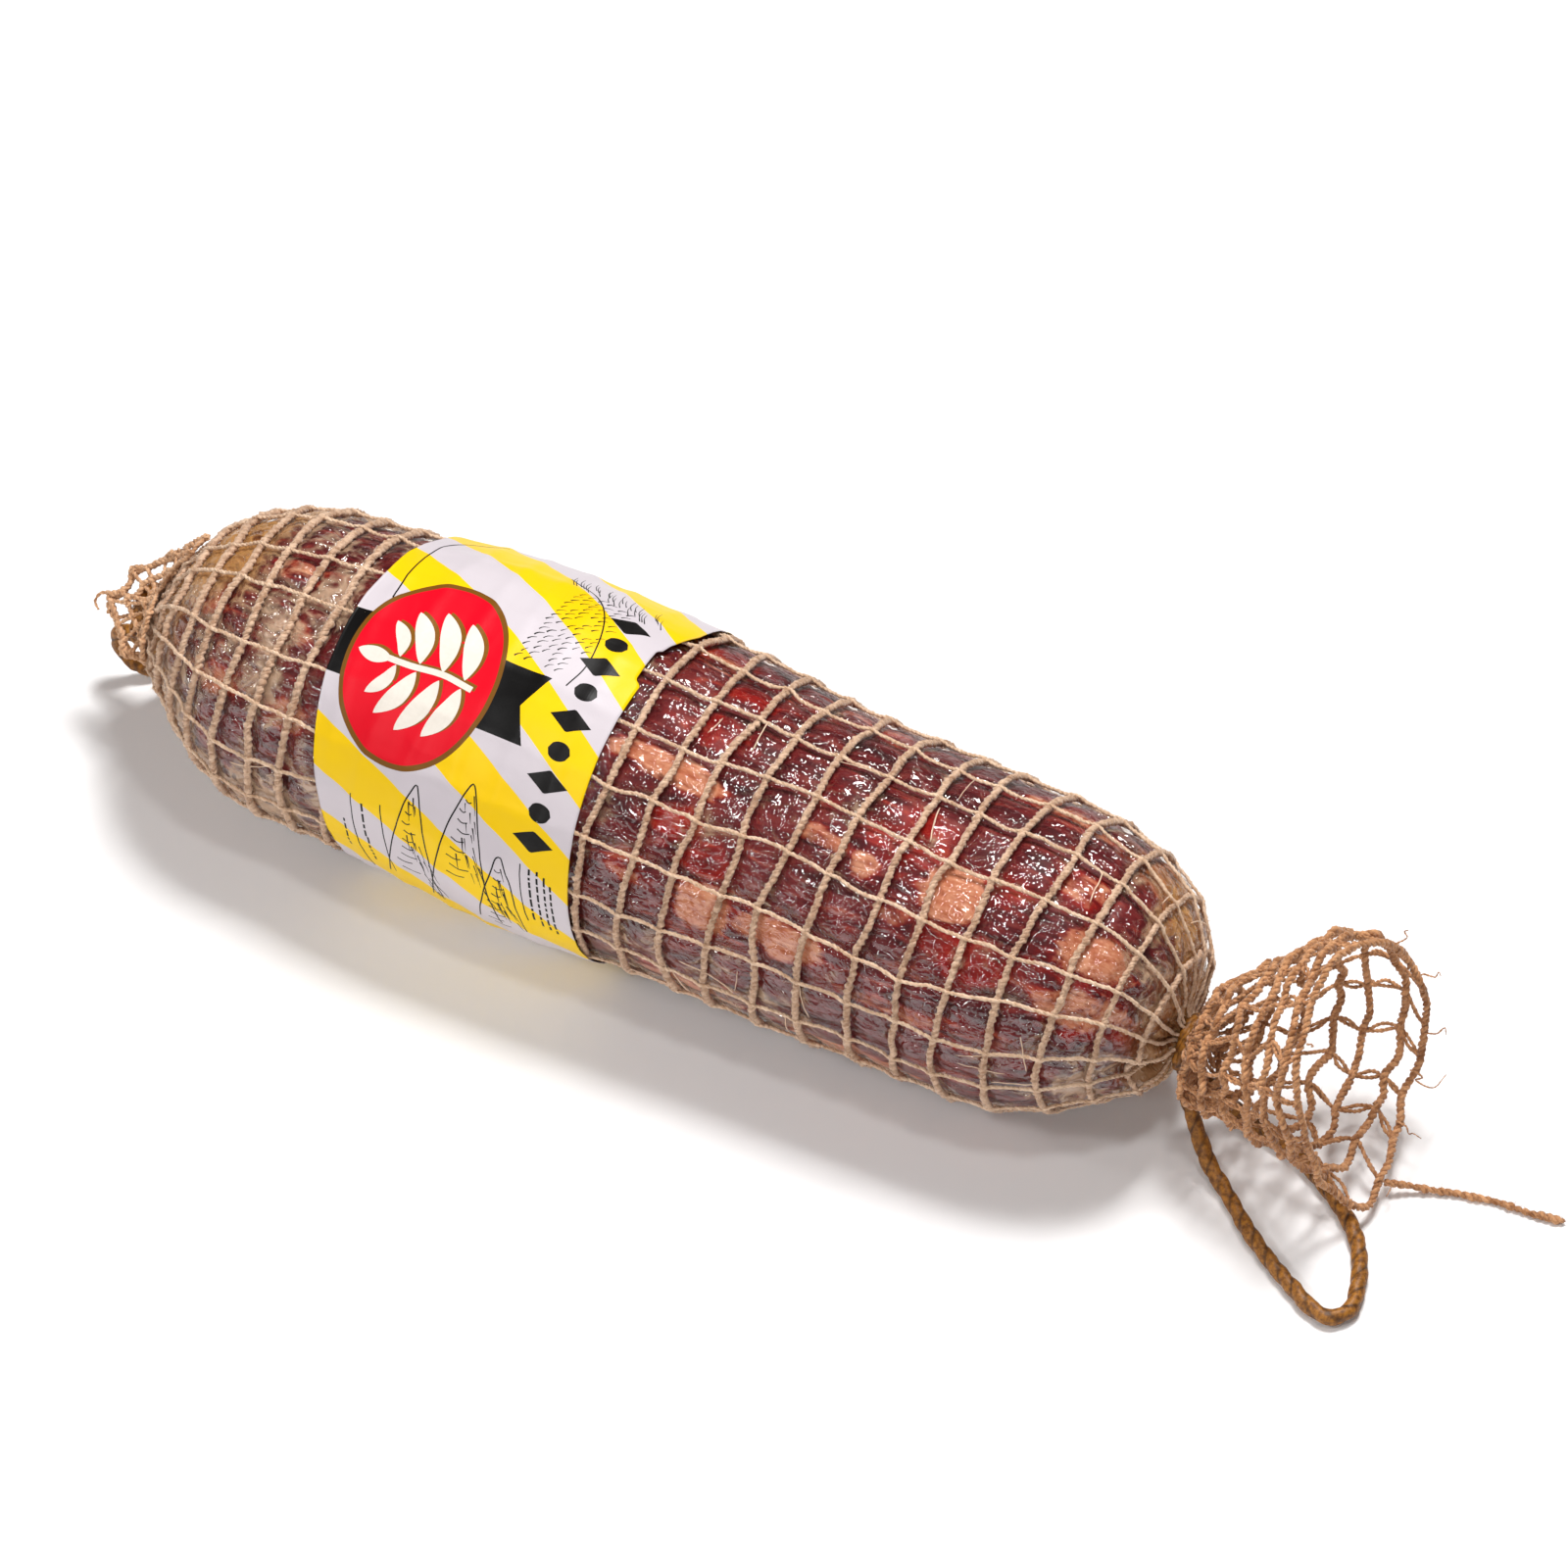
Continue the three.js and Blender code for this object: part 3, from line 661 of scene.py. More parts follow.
def pleats(u, a):
    """Folds that gather towards the necks, in mm."""
    r, x = r_of(u), x_of(u)
    w = sstep(r, 34, 12) * np.where(x < 0, 0.8, 1.0)
    t = np.stack([2.6 * np.cos(a) + 20, 2.6 * np.sin(a), r / 60.0 + (x > 0) * 9], -1)
    t2 = np.stack([5.2 * np.cos(a) + 2, 5.2 * np.sin(a), r / 40.0 + (x > 0) * 5], -1)
    out = w * (1.9 * (ridged(t, 2, 40) - 0.45) + 0.9 * noise3(t2, 44))
    # the right-hand end is drawn in deepest just below the neck, between two lobes
    fold = lambda deg, wide: np.exp(-((((a - math.radians(deg) + np.pi) % (2 * np.pi)) - np.pi) / wide) ** 2)
    right = (x > 0) * sstep(r, 37, 15)
    out = out + right * (-8.0 * fold(190, 0.28) - 2.4 * fold(232, 0.16) - 2.0 * fold(150, 0.12) - 2.2 * fold(262, 0.14) + 1.6 * fold(212, 0.20) + 1.2 * fold(168, 0.14) + 1.6 * fold(100, 0.6) * sstep(r, 8, 14))
    left = (x < 0) * sstep(r, 30, 12)
    return out + left * (-1.8 * fold(150, 0.14) - 1.6 * fold(205, 0.14) - 1.4 * fold(110, 0.12) - 1.4 * fold(235, 0.12))


# ---- the meat ------------------------------------------------------------------------------------
NU, NA = ((440, 224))
gu, ga = np.meshgrid(np.linspace(2.0, U_END - 2.0, NU), 2 * np.pi * np.arange(NA) / NA, indexing="ij")
dring, dlong = cell_field(gu, ga)
pillow = (1 - np.exp(-((dring / 2.6) ** 2))) * (1 - np.exp(-((dlong / 2.2) ** 2)))
P0 = body(gu, ga, 0 * gu)
P3 = P0.reshape(-1, 3)
slow = fbm(P3 / 16.0, 2, 3).reshape(gu.shape)
meat_h = -2.75 + 0.95 * pillow + 0.35 * (slow - 1) + 0.8 * pleats(gu, ga)
X_, A_ = x_of(gu), np.degrees(ga)


def patch(x0, a0, lx, lw, seed, soft=0.35):
    """A soft-edged patch centred at x0, angle a0 degrees, lx mm long and lw mm wide each way."""
    dt = ((A_ - a0 + 180) % 360 - 180) * math.pi / 180 * 45.5
    warp = fbm(P3 / 7.0 + seed * 3.1, 3, seed).reshape(gu.shape)
    d = np.hypot((X_ - x0) / lx, dt / lw) + 0.38 * warp
    return 1 - sstep(d, 1 - soft, 1 + soft)


fat = np.zeros(gu.shape)
for i, (x0, a0, lx, lw, k) in enumerate([
    (18, 116, 17, 4.2, 1), (37, 158, 9, 7, 0.9), (58, 158, 13, 5.5, 0.95), (100, 118, 8.5, 8.5, 1), (139, 120, 10, 8.5, 1), (143, 146, 13, 7.5, 0.72),
    (63, 118, 7, 3.5, 0.7), (76, 121, 4.5, 4, 0.75), (131, 95, 6, 6, 0.55), (118, 62, 15, 5, 0.65), (14, 152, 6, 5, 0.45), (147, 66, 9, 6, 0.6),
    (12, 64, 12, 4, 0.55), (50, 50, 14, 5, 0.5), (88, 132, 5, 4, 0.5), (92, 168, 16, 3.5, 0.55), (-90, 150, 7, 6, 0.6), (-116, 150, 8, 5, 0.7),
    (-104, 96, 9, 4, 0.5), (-96, 120, 5, 4, 0.45), (-126, 120, 8, 5, 0.5), (-20, 40, 18, 7, 0.7), (-60, 210, 20, 8, 0.7), (30, 205, 16, 6, 0.8), (80, 215, 22, 7, 0.9),
    (120, 230, 16, 8, 0.8), (20, 20, 15, 8, 0.8), (70, 0, 20, 7, 0.9), (110, -20, 16, 9, 0.9), (-110, 10, 14, 8, 0.8), (-50, -30, 24, 9, 0.9), (40, -50, 22, 8, 0.8), (-120, 210, 14, 7, 0.7),
]):
    fat = np.maximum(fat, k * patch(x0, a0, lx, lw, i))
red = np.zeros(gu.shape)
for i, (x0, a0, lx, lw, k) in enumerate([
    (26, 75, 8, 4, 0.9), (24, 134, 7, 6, 1), (36, 142, 8, 5, 1), (112, 139, 12, 8, 0.9), (143, 150, 14, 9, 0.9), (85, 105, 13, 10, 0.75), (22, 96, 14, 7, 0.55),
    (112, 108, 12, 6, 0.6), (102, 134, 9, 6, 0.8), (130, 96, 9, 8, 0.7), (56, 58, 14, 6, 0.5), (70, 140, 8, 6, 0.4), (135, 132, 16, 8, 0.5), (60, 100, 9, 5, 0.5),
    (0, 60, 20, 8, 0.6), (60, 20, 24, 12, 0.6), (-30, 10, 26, 12, 0.5), (90, 250, 30, 14, 0.5), (10, 300, 30, 14, 0.5), (-110, 130, 10, 6, 0.3),
]):
    red = np.maximum(red, k * patch(x0, a0, lx, lw, 60 + i, 0.5))
amber = np.maximum.reduce([
    0.9 * sstep(-X_, 112, 128) * sstep(A_, 128, 90) * sstep(A_, 20, 60),
    0.8 * sstep(-X_, 124, 140),
    0.85 * sstep(X_, 150, 160),
    1.0 * patch(153, 45, 16, 24, 90, 0.5),
    0.6 * patch(-98, 205, 10, 4, 91),
])
fib = fbm(np.stack([P3[:, 0] / 26, P3[:, 1] / 2.0, P3[:, 2] / 2.0], 1) + 0.6 * fbm(P3 / 12, 2, 8)[:, None], 3, 12).reshape(gu.shape)
meat = Soup()
MV = body(gu, ga, meat_h + 0.22 * fib)
n_grid = NU * NA
caps = np.array([MV[0].mean(0), MV[-1].mean(0)])
j = np.arange(NA)
k = (j + 1) % NA
cap_tris = np.concatenate([np.stack([np.full(NA, n_grid), k, j], -1), np.stack([np.full(NA, n_grid + 1), (NU - 1) * NA + j, (NU - 1) * NA + k], -1)])
ext = lambda v: np.concatenate([v.ravel(), [v[0].mean(), v[-1].mean()]])
body_quads = grid_faces(NU, NA)
meat.add(np.concatenate([MV.reshape(-1, 3), caps]), body_quads, cap_tris, fat=ext(fat), red=ext(red), amber=ext(amber))

mm = Mat("cured_meat", 0.38)
v = mm.coord((0.16, 1.0, 1.0))
vi = mm.coord((1, 1, 1))
fibres = mm.noise(v, 900.0, 4, 0.6, 0.4)
streaks = mm.noise(v, 260.0, 4, 0.55, 1.2)
blotch = mm.noise(vi, 95.0, 4, 0.55, 0.6)
veins = mm.noise(vi, 210.0, 5, 0.65, 1.0)
t = mm.math("ADD", mm.math("MULTIPLY", streaks, 0.60), mm.math("MULTIPLY", blotch, 0.40))
lean = mm.ramp(t, [(0.30, rgb(34, 8, 14)), (0.43, rgb(76, 15, 22)), (0.53, rgb(108, 28, 32)), (0.64, rgb(136, 58, 52)), (0.78, rgb(176, 114, 90))])
deep = mm.ramp(t, [(0.30, rgb(72, 4, 8)), (0.44, rgb(116, 10, 12)), (0.56, rgb(154, 24, 18)), (0.72, rgb(190, 78, 50))])
fatc = mm.ramp(mm.math("ADD", mm.math("MULTIPLY", fibres, 0.5), mm.math("MULTIPLY", veins, 0.5)), [(0.30, rgb(158, 74, 50)), (0.44, rgb(194, 116, 84)), (0.58, rgb(216, 152, 118)), (0.74, rgb(232, 190, 160))])
amb = mm.ramp(streaks, [(0.3, rgb(120, 66, 22)), (0.5, rgb(172, 112, 52)), (0.7, rgb(206, 160, 100))])
edge = mm.math("ADD", mm.attr("red"), mm.math("MULTIPLY", mm.math("SUBTRACT", veins, 0.5), 0.9))
c = mm.mix(mm.remap(edge, 0.30, 0.72), lean, deep)
fe = mm.math("ADD", mm.attr("fat"), mm.math("MULTIPLY", mm.math("SUBTRACT", veins, 0.5), 0.8))
fe = mm.math("ADD", fe, mm.math("MULTIPLY", mm.math("SUBTRACT", streaks, 0.5), 1.5))
c = mm.mix(mm.math("MULTIPLY", mm.remap(fe, 0.16, 0.40), 0.75), c, deep)
c = mm.mix(mm.remap(fe, 0.30, 0.90), c, fatc)
c = mm.mix(mm.math("MULTIPLY", mm.attr("amber"), 0.85), c, amb)
mm.link(c, mm.b.inputs["Base Color"])
hh = mm.math("ADD", mm.math("MULTIPLY", fibres, 0.6), mm.math("MULTIPLY", veins, 0.5))
mm.link(mm.bump(hh, 0.5, 0.0006), mm.b.inputs["Normal"])
mm.b.inputs["Subsurface Weight"].default_value = 0.0
mm.b.inputs["Specular IOR Level"].default_value = 0.12
meat_ob = meat.build("cured_meat_surface", mm.m)
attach(meat_ob, "root")
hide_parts("cured_meat")

# ---- the clear film ------------------------------------------------------------------------------
FU, FA = ((460, 216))
fu, fa = np.meshgrid(np.linspace(0.5, U_END - 0.5, FU), 2 * np.pi * (np.arange(FA) + 0.5) / FA, indexing="ij")
dring, dlong = cell_field(fu, fa)
pillow = (1 - np.exp(-((dring / 2.3) ** 2))) * (1 - np.exp(-((dlong / 2.0) ** 2)))
F3 = body(fu, fa, 0 * fu).reshape(-1, 3)
slow = fbm(F3 / 16.0, 2, 3).reshape(fu.shape)
warp = fbm(F3 / 9.0, 2, 70)[:, None] * np.array([1.4, 1.0, 1.2])
cr1 = ridged(F3 * np.array([0.16, 0.26, 0.26]) + warp, 2, 71).reshape(fu.shape)
cr2 = ridged(F3 * np.array([0.34, 0.30, 0.30]) + 1.6 * warp, 2, 77).reshape(fu.shape)
film_h = -2.12 + 1.15 * pillow + 0.30 * (slow - 1) + 0.75 * (cr1 - 0.4) * (0.35 + 0.65 * pillow) + 0.42 * (cr2 - 0.4)
film_h = np.clip(film_h, -2.45, 0.25) + 0.8 * pleats(fu, fa)
fx, fdeg = x_of(fu), np.degrees(fa)
cloud = fbm(F3 / 11.0, 3, 90).reshape(fu.shape)
cloud2 = fbm(F3 / 4.0, 3, 93).reshape(fu.shape)
milky = 0.22 + 0.46 * cloud + 0.28 * cloud2 + 0.34 * sstep(-fx, 70, 92) + 0.24 * sstep(fx, 128, 152) + 0.22 * sstep(fdeg, 160, 185) * (fdeg < 270) - 0.03
milky += 0.16 * (1 - pillow)
milky -= 0.14 * sstep(fx, 70, 90) * sstep(fx, 130, 110)
famber = np.maximum.reduce([
    0.95 * sstep(-fx, 104, 122) * sstep(fdeg, 132, 100) * sstep(fdeg, 10, 50), 0.8 * sstep(-fx, 124, 142), 0.6 * sstep(fx, 152, 160),
    0.95 * sstep(np.hypot((fx - 154) / 14, ((fdeg - 45 + 180) % 360 - 180) / 55), 1.2, 0.6),
])
film = Soup()
FV = body(fu, fa, film_h)
n_grid = FU * FA
caps = np.array([FV[0].mean(0), FV[-1].mean(0)])
j = np.arange(FA)
k = (j + 1) % FA
cap_tris = np.concatenate([np.stack([np.full(FA, n_grid), k, j], -1), np.stack([np.full(FA, n_grid + 1), (FU - 1) * FA + j, (FU - 1) * FA + k], -1)])
milky = milky + 0.30 * famber
film.add(np.concatenate([FV.reshape(-1, 3), caps]), grid_faces(FU, FA), cap_tris, milky=ext(np.clip(milky, 0, 1)), famber=ext(np.clip(famber, 0, 1)))

fm = Mat("clear_film", 0.12)
v = fm.coord((1, 1, 1))
vl = fm.coord((0.6, 1.0, 1.0))
w1 = fm.noise(vl, 175.0, 0.6, 0.45, 1.5)
w2 = fm.noise(v, 400.0, 0.3, 0.4, 1.2)
w3 = fm.noise(v, 150.0, 3, 0.6, 0.6)
ridge1 = fm.math("SUBTRACT", 1.0, fm.math("ABSOLUTE", fm.math("MULTIPLY", fm.math("SUBTRACT", w1, 0.5), 4.0)))
ridge2 = fm.math("SUBTRACT", 1.0, fm.math("ABSOLUTE", fm.math("MULTIPLY", fm.math("SUBTRACT", w2, 0.5), 3.6)))
hh = fm.math("ADD", fm.math("MULTIPLY", ridge1, 0.74), fm.math("MULTIPLY", ridge2, 0.26))
nrm = fm.bump(hh, 1.0, 0.0008)
gloss = fm.new("ShaderNodeBsdfGlossy")
gloss.inputs["Roughness"].default_value = 0.085
gloss.inputs["Color"].default_value = (1, 1, 1, 1)
fm.link(nrm, gloss.inputs["Normal"])
clear = fm.new("ShaderNodeBsdfTransparent")
clear.inputs["Color"].default_value = (0.97, 0.955, 0.935, 1)
fm.b.inputs["Roughness"].default_value = 0.5
fm.b.inputs["Specular IOR Level"].default_value = 0.1
hz = fm.math("ADD", fm.attr("milky"), fm.math("MULTIPLY", fm.math("SUBTRACT", w3, 0.5), 1.3))
hz = fm.math("ADD", hz, fm.math("MULTIPLY", fm.math("SUBTRACT", ridge1, 0.6), 0.45), clamp=True)
haze = fm.remap(hz, 0.44, 1.06, 0.0, 0.60)
hzc = fm.mix(fm.attr("famber"), rgb(216, 182, 150), rgb(214, 156, 88))
fm.link(hzc, fm.b.inputs["Base Color"])
fm.link(nrm, fm.b.inputs["Normal"])
mixa = fm.new("ShaderNodeMixShader")
fm.link(haze, mixa.inputs[0])
fm.link(clear.outputs[0], mixa.inputs[1])
fm.link(fm.b.outputs[0], mixa.inputs[2])
fres = fm.new("ShaderNodeFresnel")
fres.inputs["IOR"].default_value = 1.46
fm.link(nrm, fres.inputs["Normal"])
mixb = fm.new("ShaderNodeMixShader")
fm.link(fm.math("MINIMUM", fm.math("MULTIPLY", fres.outputs[0], 2.2), 0.12), mixb.inputs[0])
fm.link(mixa.outputs[0], mixb.inputs[1])
fm.link(gloss.outputs[0], mixb.inputs[2])
fm.link(mixb.outputs[0], fm.out.inputs[0])
film_ob = film.build("film_wrap_crinkled", fm.m)
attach(film_ob, "root")
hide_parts("film_wrap")

# ---- the net over the body -----------------------------------------------------------------------
ring_parts = [Soup(), Soup(), Soup()]
long_parts = [Soup(), Soup()]
STEP = 0.66
for i in range(len(RING_U)):
    rad = float(r_of(RING_U[i]))
    n = max(60, int(2 * math.pi * rad / STEP))
    a = 2 * np.pi * np.arange(n) / n
    u = ring_u(i, a)
    amp = 0.8 * pleats(u, a)
    h = -1.05 + 0.16 * noise3(np.stack([9 * np.cos(a), 9 * np.sin(a), a * 0 + i], 1), 3) + amp * 0.75
    p = body(u, a, h)
    up = unit(body(u, a, h + 1.0) - p)
    size = (1.12 if i < 8 else 1.0) if 1 < i < len(RING_U) - 2 else 0.85
    part = ring_parts[i // 9]
    plied(part, p, 0.56 * size, 0.54 * size, 3.0, sides=5, plies=3, closed=True, up=up, seed=100 + i, rough=0.72, flat=0.72, wander=0.7,
          taper=1 + 0.17 * np.sin(np.arange(n) * 2.05 + 2.2 * noise3(np.stack([np.arange(n) / 9, a * 0, a * 0 + i], 1), 17)))
    fuzz(part, p + up * 0.45, up, int(n * 2.4), 0.95, 0.06, 300 + i, 0.9)
U0, U1 = 4.0, U_END - 3.0
for jx in range(NLONG):
    n = int((U1 - U0) / (STEP * 1.1))
    u = np.linspace(U0, U1, n)
    a = long_a(jx, u)
    near = np.full(n, 99.0)
    for i in range(len(RING_U)):
        near = np.minimum(near, np.abs(u - ring_u(i, a)))
    h = -1.0 + 0.74 * np.exp(-((near / 2.0) ** 2)) + 0.56 * pleats(u, a)
    p = body(u, a, h)
    up = unit(body(u, a, h + 1.0) - p)
    part = long_parts[jx % 2]
    plied(part, p, 0.37, 0.27, 2.6, sides=6, up=up, seed=500 + jx, rough=0.5, flat=0.85, wander=0.42)
    fuzz(part, p + up * 0.3, up, int(n * 0.9), 0.9, 0.05, 700 + jx, 0.9)
# thin stray threads lying over the film, and a thin second thread beside some cords
rng = np.random.default_rng(55)
for k in range(70):
    u = rng.uniform(14, U_END - 14)
    a = rng.uniform(0, 2 * np.pi)
    if -86 < x_of(u) < 8:
        continue
    ln, head = rng.uniform(6, 18), rng.choice([0.0, math.pi / 2]) + rng.normal(0, 0.12)
    n = max(6, int(ln / 0.8))
    turn = head + np.cumsum(rng.normal(0, 0.06, n))
    uu = np.clip(u + np.cumsum(np.cos(turn)) * 0.8, 5, U_END - 5)
    aa = a + np.cumsum(np.sin(turn)) * 0.8 / np.maximum(r_of(uu), 6)
    p = body(uu, aa, -0.85 + 0.56 * pleats(uu, aa) + 0.2 * noise3(np.stack([uu / 3, aa * 10, aa * 0], 1), 61))
    sweep(long_parts[0], p, rng.uniform(0.10, 0.20) * np.minimum(1, 0.4 + np.minimum(np.arange(n), np.arange(n)[::-1]) / 2), 5, shade=0.9)
for k, part in enumerate(ring_parts):
    ob = part.build("net_sleeve_rings_" + "abc"[k], cotton.m)
    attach(ob, "root")
    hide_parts("net_sleeve")
for k, part in enumerate(long_parts):
    ob = part.build("net_sleeve_lengthwise_" + "ab"[k], cotton_long.m)
    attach(ob, "root")
    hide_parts("net_sleeve")

# ---- the paper label -----------------------------------------------------------------------------
RL = 47.0


TURN = 2 * math.pi * RL


def label_left(t):
    return np.interp(t, [0, 45, 50, 60, 70, 80, 90, 105, 118, 130, 140, 150, 160, 170, 185, TURN], [-75, -76.5, -77.5, -79.6, -80, -81, -81.5, -81.3, -79.7, -78, -76, -74.5, -73, -71.8, -72.5, -75])


def label_right(t):
    return np.interp(t, [0, 40, 50, 60, 63.5, 64.5, 76.5, 78, 90, 100, 120, 130, 140, 150, 160, 170, 185, TURN], [3, 3.2, 2.8, -0.8, -1.4, -2.6, -2.3, -0.3, -0.8, -1.0, -0.5, 0.0, 0.8, 1.5, 2.3, 3.0, 3.4, 3])


def label_h(x, a):
    """Height of the paper's underside at x and angle a: it follows the net's bumps a little and has slight folds."""
    x, a = np.asarray(x, float), np.asarray(a, float) % (2 * np.pi)
    u = u_of(x)
    dr, dl = cell_field(u, a)
    emb = np.exp(-((dr / 2.3) ** 2)) * 0.40 + np.exp(-((dl / 2.0) ** 2)) * 0.22
    f3 = np.stack([x * 0.05, 3.6 * np.cos(a), 3.6 * np.sin(a)], -1)
    wr = fbm(f3, 3, 120) + 0.5 * np.clip(ridged(f3 * 1.7 + 5, 1, 122) - 0.55, 0, 1)
    t = a * RL
    inner = np.minimum(np.minimum(x - label_left(t), label_right(t) - x), 6) / 6
    return np.maximum(0.06 + emb * (0.45 + 0.55 * np.clip(inner, 0, 1)) + 0.32 * wr, -0.05)


LU, LA = 90, 400
ls, la = np.meshgrid(np.linspace(0, 1, LU), 2 * np.pi * np.arange(LA) / LA, indexing="ij")
T_ = la * RL
lx = label_left(T_) * (1 - ls) + label_right(T_) * ls
lh = label_h(lx, la)
lu = u_of(lx)
top = body(lu, la, lh + 0.12)
bot = body(lu, la, lh)
lab = Soup()
n_grid = LU * LA
vv = np.concatenate([top.reshape(-1, 3), bot.reshape(-1, 3)])
q = grid_faces(LU, LA)
j = np.arange(LA)
k = (j + 1) % LA
e0 = np.stack([j, n_grid + j, n_grid + k, k], -1)
last = (LU - 1) * LA
e1 = np.stack([last + k, n_grid + last + k, n_grid + last + j, last + j], -1)
# the print's place: millimetres along the piece and round it, with the seam underneath at the back
Tw = np.where(la > math.radians(300), T_ - TURN, T_)
sx, st = lx / 100, Tw / 100
phase = -2.4837 - 2.4586 * sx + 3.3704 * st - 0.478 * sx * sx + 0.1932 * sx * st + 0.057 * st * st
phase = np.concatenate([phase.ravel(), phase.ravel()])
lab.add(vv, np.concatenate([q, q[:, ::-1] + n_grid, e0[:, ::-1], e1[:, ::-1]]), None, phase=phase)
uvs = np.stack([lx / 100.0, Tw / 100.0], -1).reshape(-1, 2)
pm = Mat("printed_paper", 0.42)
uvn = pm.new("ShaderNodeUVMap", uv_map="print")
sep = pm.new("ShaderNodeSeparateXYZ")
pm.link(uvn.outputs[0], sep.inputs[0])
px_ = pm.math("MULTIPLY", sep.outputs[0], 100.0)
pt_ = pm.math("MULTIPLY", sep.outputs[1], 100.0)
objc = pm.coord((1, 1, 1))
tone = pm.noise(objc, 40.0, 3)
grain = pm.noise(objc, 1500.0, 2)
fr = pm.math("FRACT", pm.attr("phase"))
ye = pm.math("LESS_THAN", fr, 0.5)
yellow = pm.mix(tone, rgb(236, 192, 0), rgb(246, 206, 4))
white = pm.mix(tone, rgb(196, 188, 194), rgb(212, 204, 209))
c = pm.mix(ye, white, yellow)


def ell(cx, ct, ax, at_, tilt):
    """1 inside an ellipse given in print millimetres, and its own distance share."""
    s, co = math.sin(tilt), math.cos(tilt)
    dx = pm.math("SUBTRACT", px_, cx)
    dt = pm.math("SUBTRACT", pt_, ct)
    a = pm.math("DIVIDE", pm.math("SUBTRACT", pm.math("MULTIPLY", dx, co), pm.math("MULTIPLY", dt, s)), ax)
    b = pm.math("DIVIDE", pm.math("ADD", pm.math("MULTIPLY", dx, s), pm.math("MULTIPLY", dt, co)), at_)
    return pm.math("SQRT", pm.math("ADD", pm.math("MULTIPLY", a, a), pm.math("MULTIPLY", b, b)))


def box2(x0, x1, t0, t1):
    a = pm.math("MULTIPLY", pm.math("GREATER_THAN", px_, x0), pm.math("LESS_THAN", px_, x1))
    b = pm.math("MULTIPLY", pm.math("GREATER_THAN", pt_, t0), pm.math("LESS_THAN", pt_, t1))
    return pm.math("MULTIPLY", a, b)


# a plain ribbon behind a plain oval seal, both bare
notch = pm.math("ADD", -26.3, pm.math("MULTIPLY", pm.math("ABSOLUTE", pm.math("SUBTRACT", pt_, 96.5)), 0.48))
rib_r = pm.math("MULTIPLY", box2(-45.0, 0.0, 86.7, 106.3), pm.math("LESS_THAN", px_, notch))
rib_l = box2(-95.0, -60.0, 86.0, 105.5)
c = pm.mix(pm.math("MAXIMUM", rib_r, rib_l), c, rgb(8, 7, 7))
d = ell(-56.0, 97.0, 22.0, 28.2, 0.0)
c = pm.mix(pm.math("LESS_THAN", d, 1.0), c, rgb(118, 76, 18))
c = pm.mix(pm.math("LESS_THAN", d, 0.942), c, pm.mix(tone, rgb(214, 2, 28), rgb(228, 6, 36)))
back = pm.new("ShaderNodeNewGeometry")
pm.link(c, pm.b.inputs["Base Color"])
pm.link(pm.bump(grain, 0.12, 0.0002), pm.b.inputs["Normal"])
pm.b.inputs["Specular IOR Level"].default_value = 0.2
label_ob = lab.build("label_band_paper", pm.m, uv=np.concatenate([uvs, uvs]))
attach(label_ob, "root")
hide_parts("label_band")

# ---- the ink: plain marks of this script's own, drawn as thin raised strokes -----------------------
ink = Soup()


def label_h_at(x, a):
    """label_h read off the paper's own grid."""
    a = np.asarray(a, float) % (2 * np.pi)
    t = a * RL
    s = np.clip((x - label_left(t)) / (label_right(t) - label_left(t)), 0, 1) * (LU - 1)
    g = a / (2 * np.pi) * LA
    i, m = np.minimum(s.astype(int), LU - 2), g.astype(int) % LA
    fs_, fg = s - i, g - np.floor(g)
    m2 = (m + 1) % LA
    return (lh[i, m] * (1 - fs_) + lh[i + 1, m] * fs_) * (1 - fg) + (lh[i, m2] * (1 - fs_) + lh[i + 1, m2] * fs_) * fg


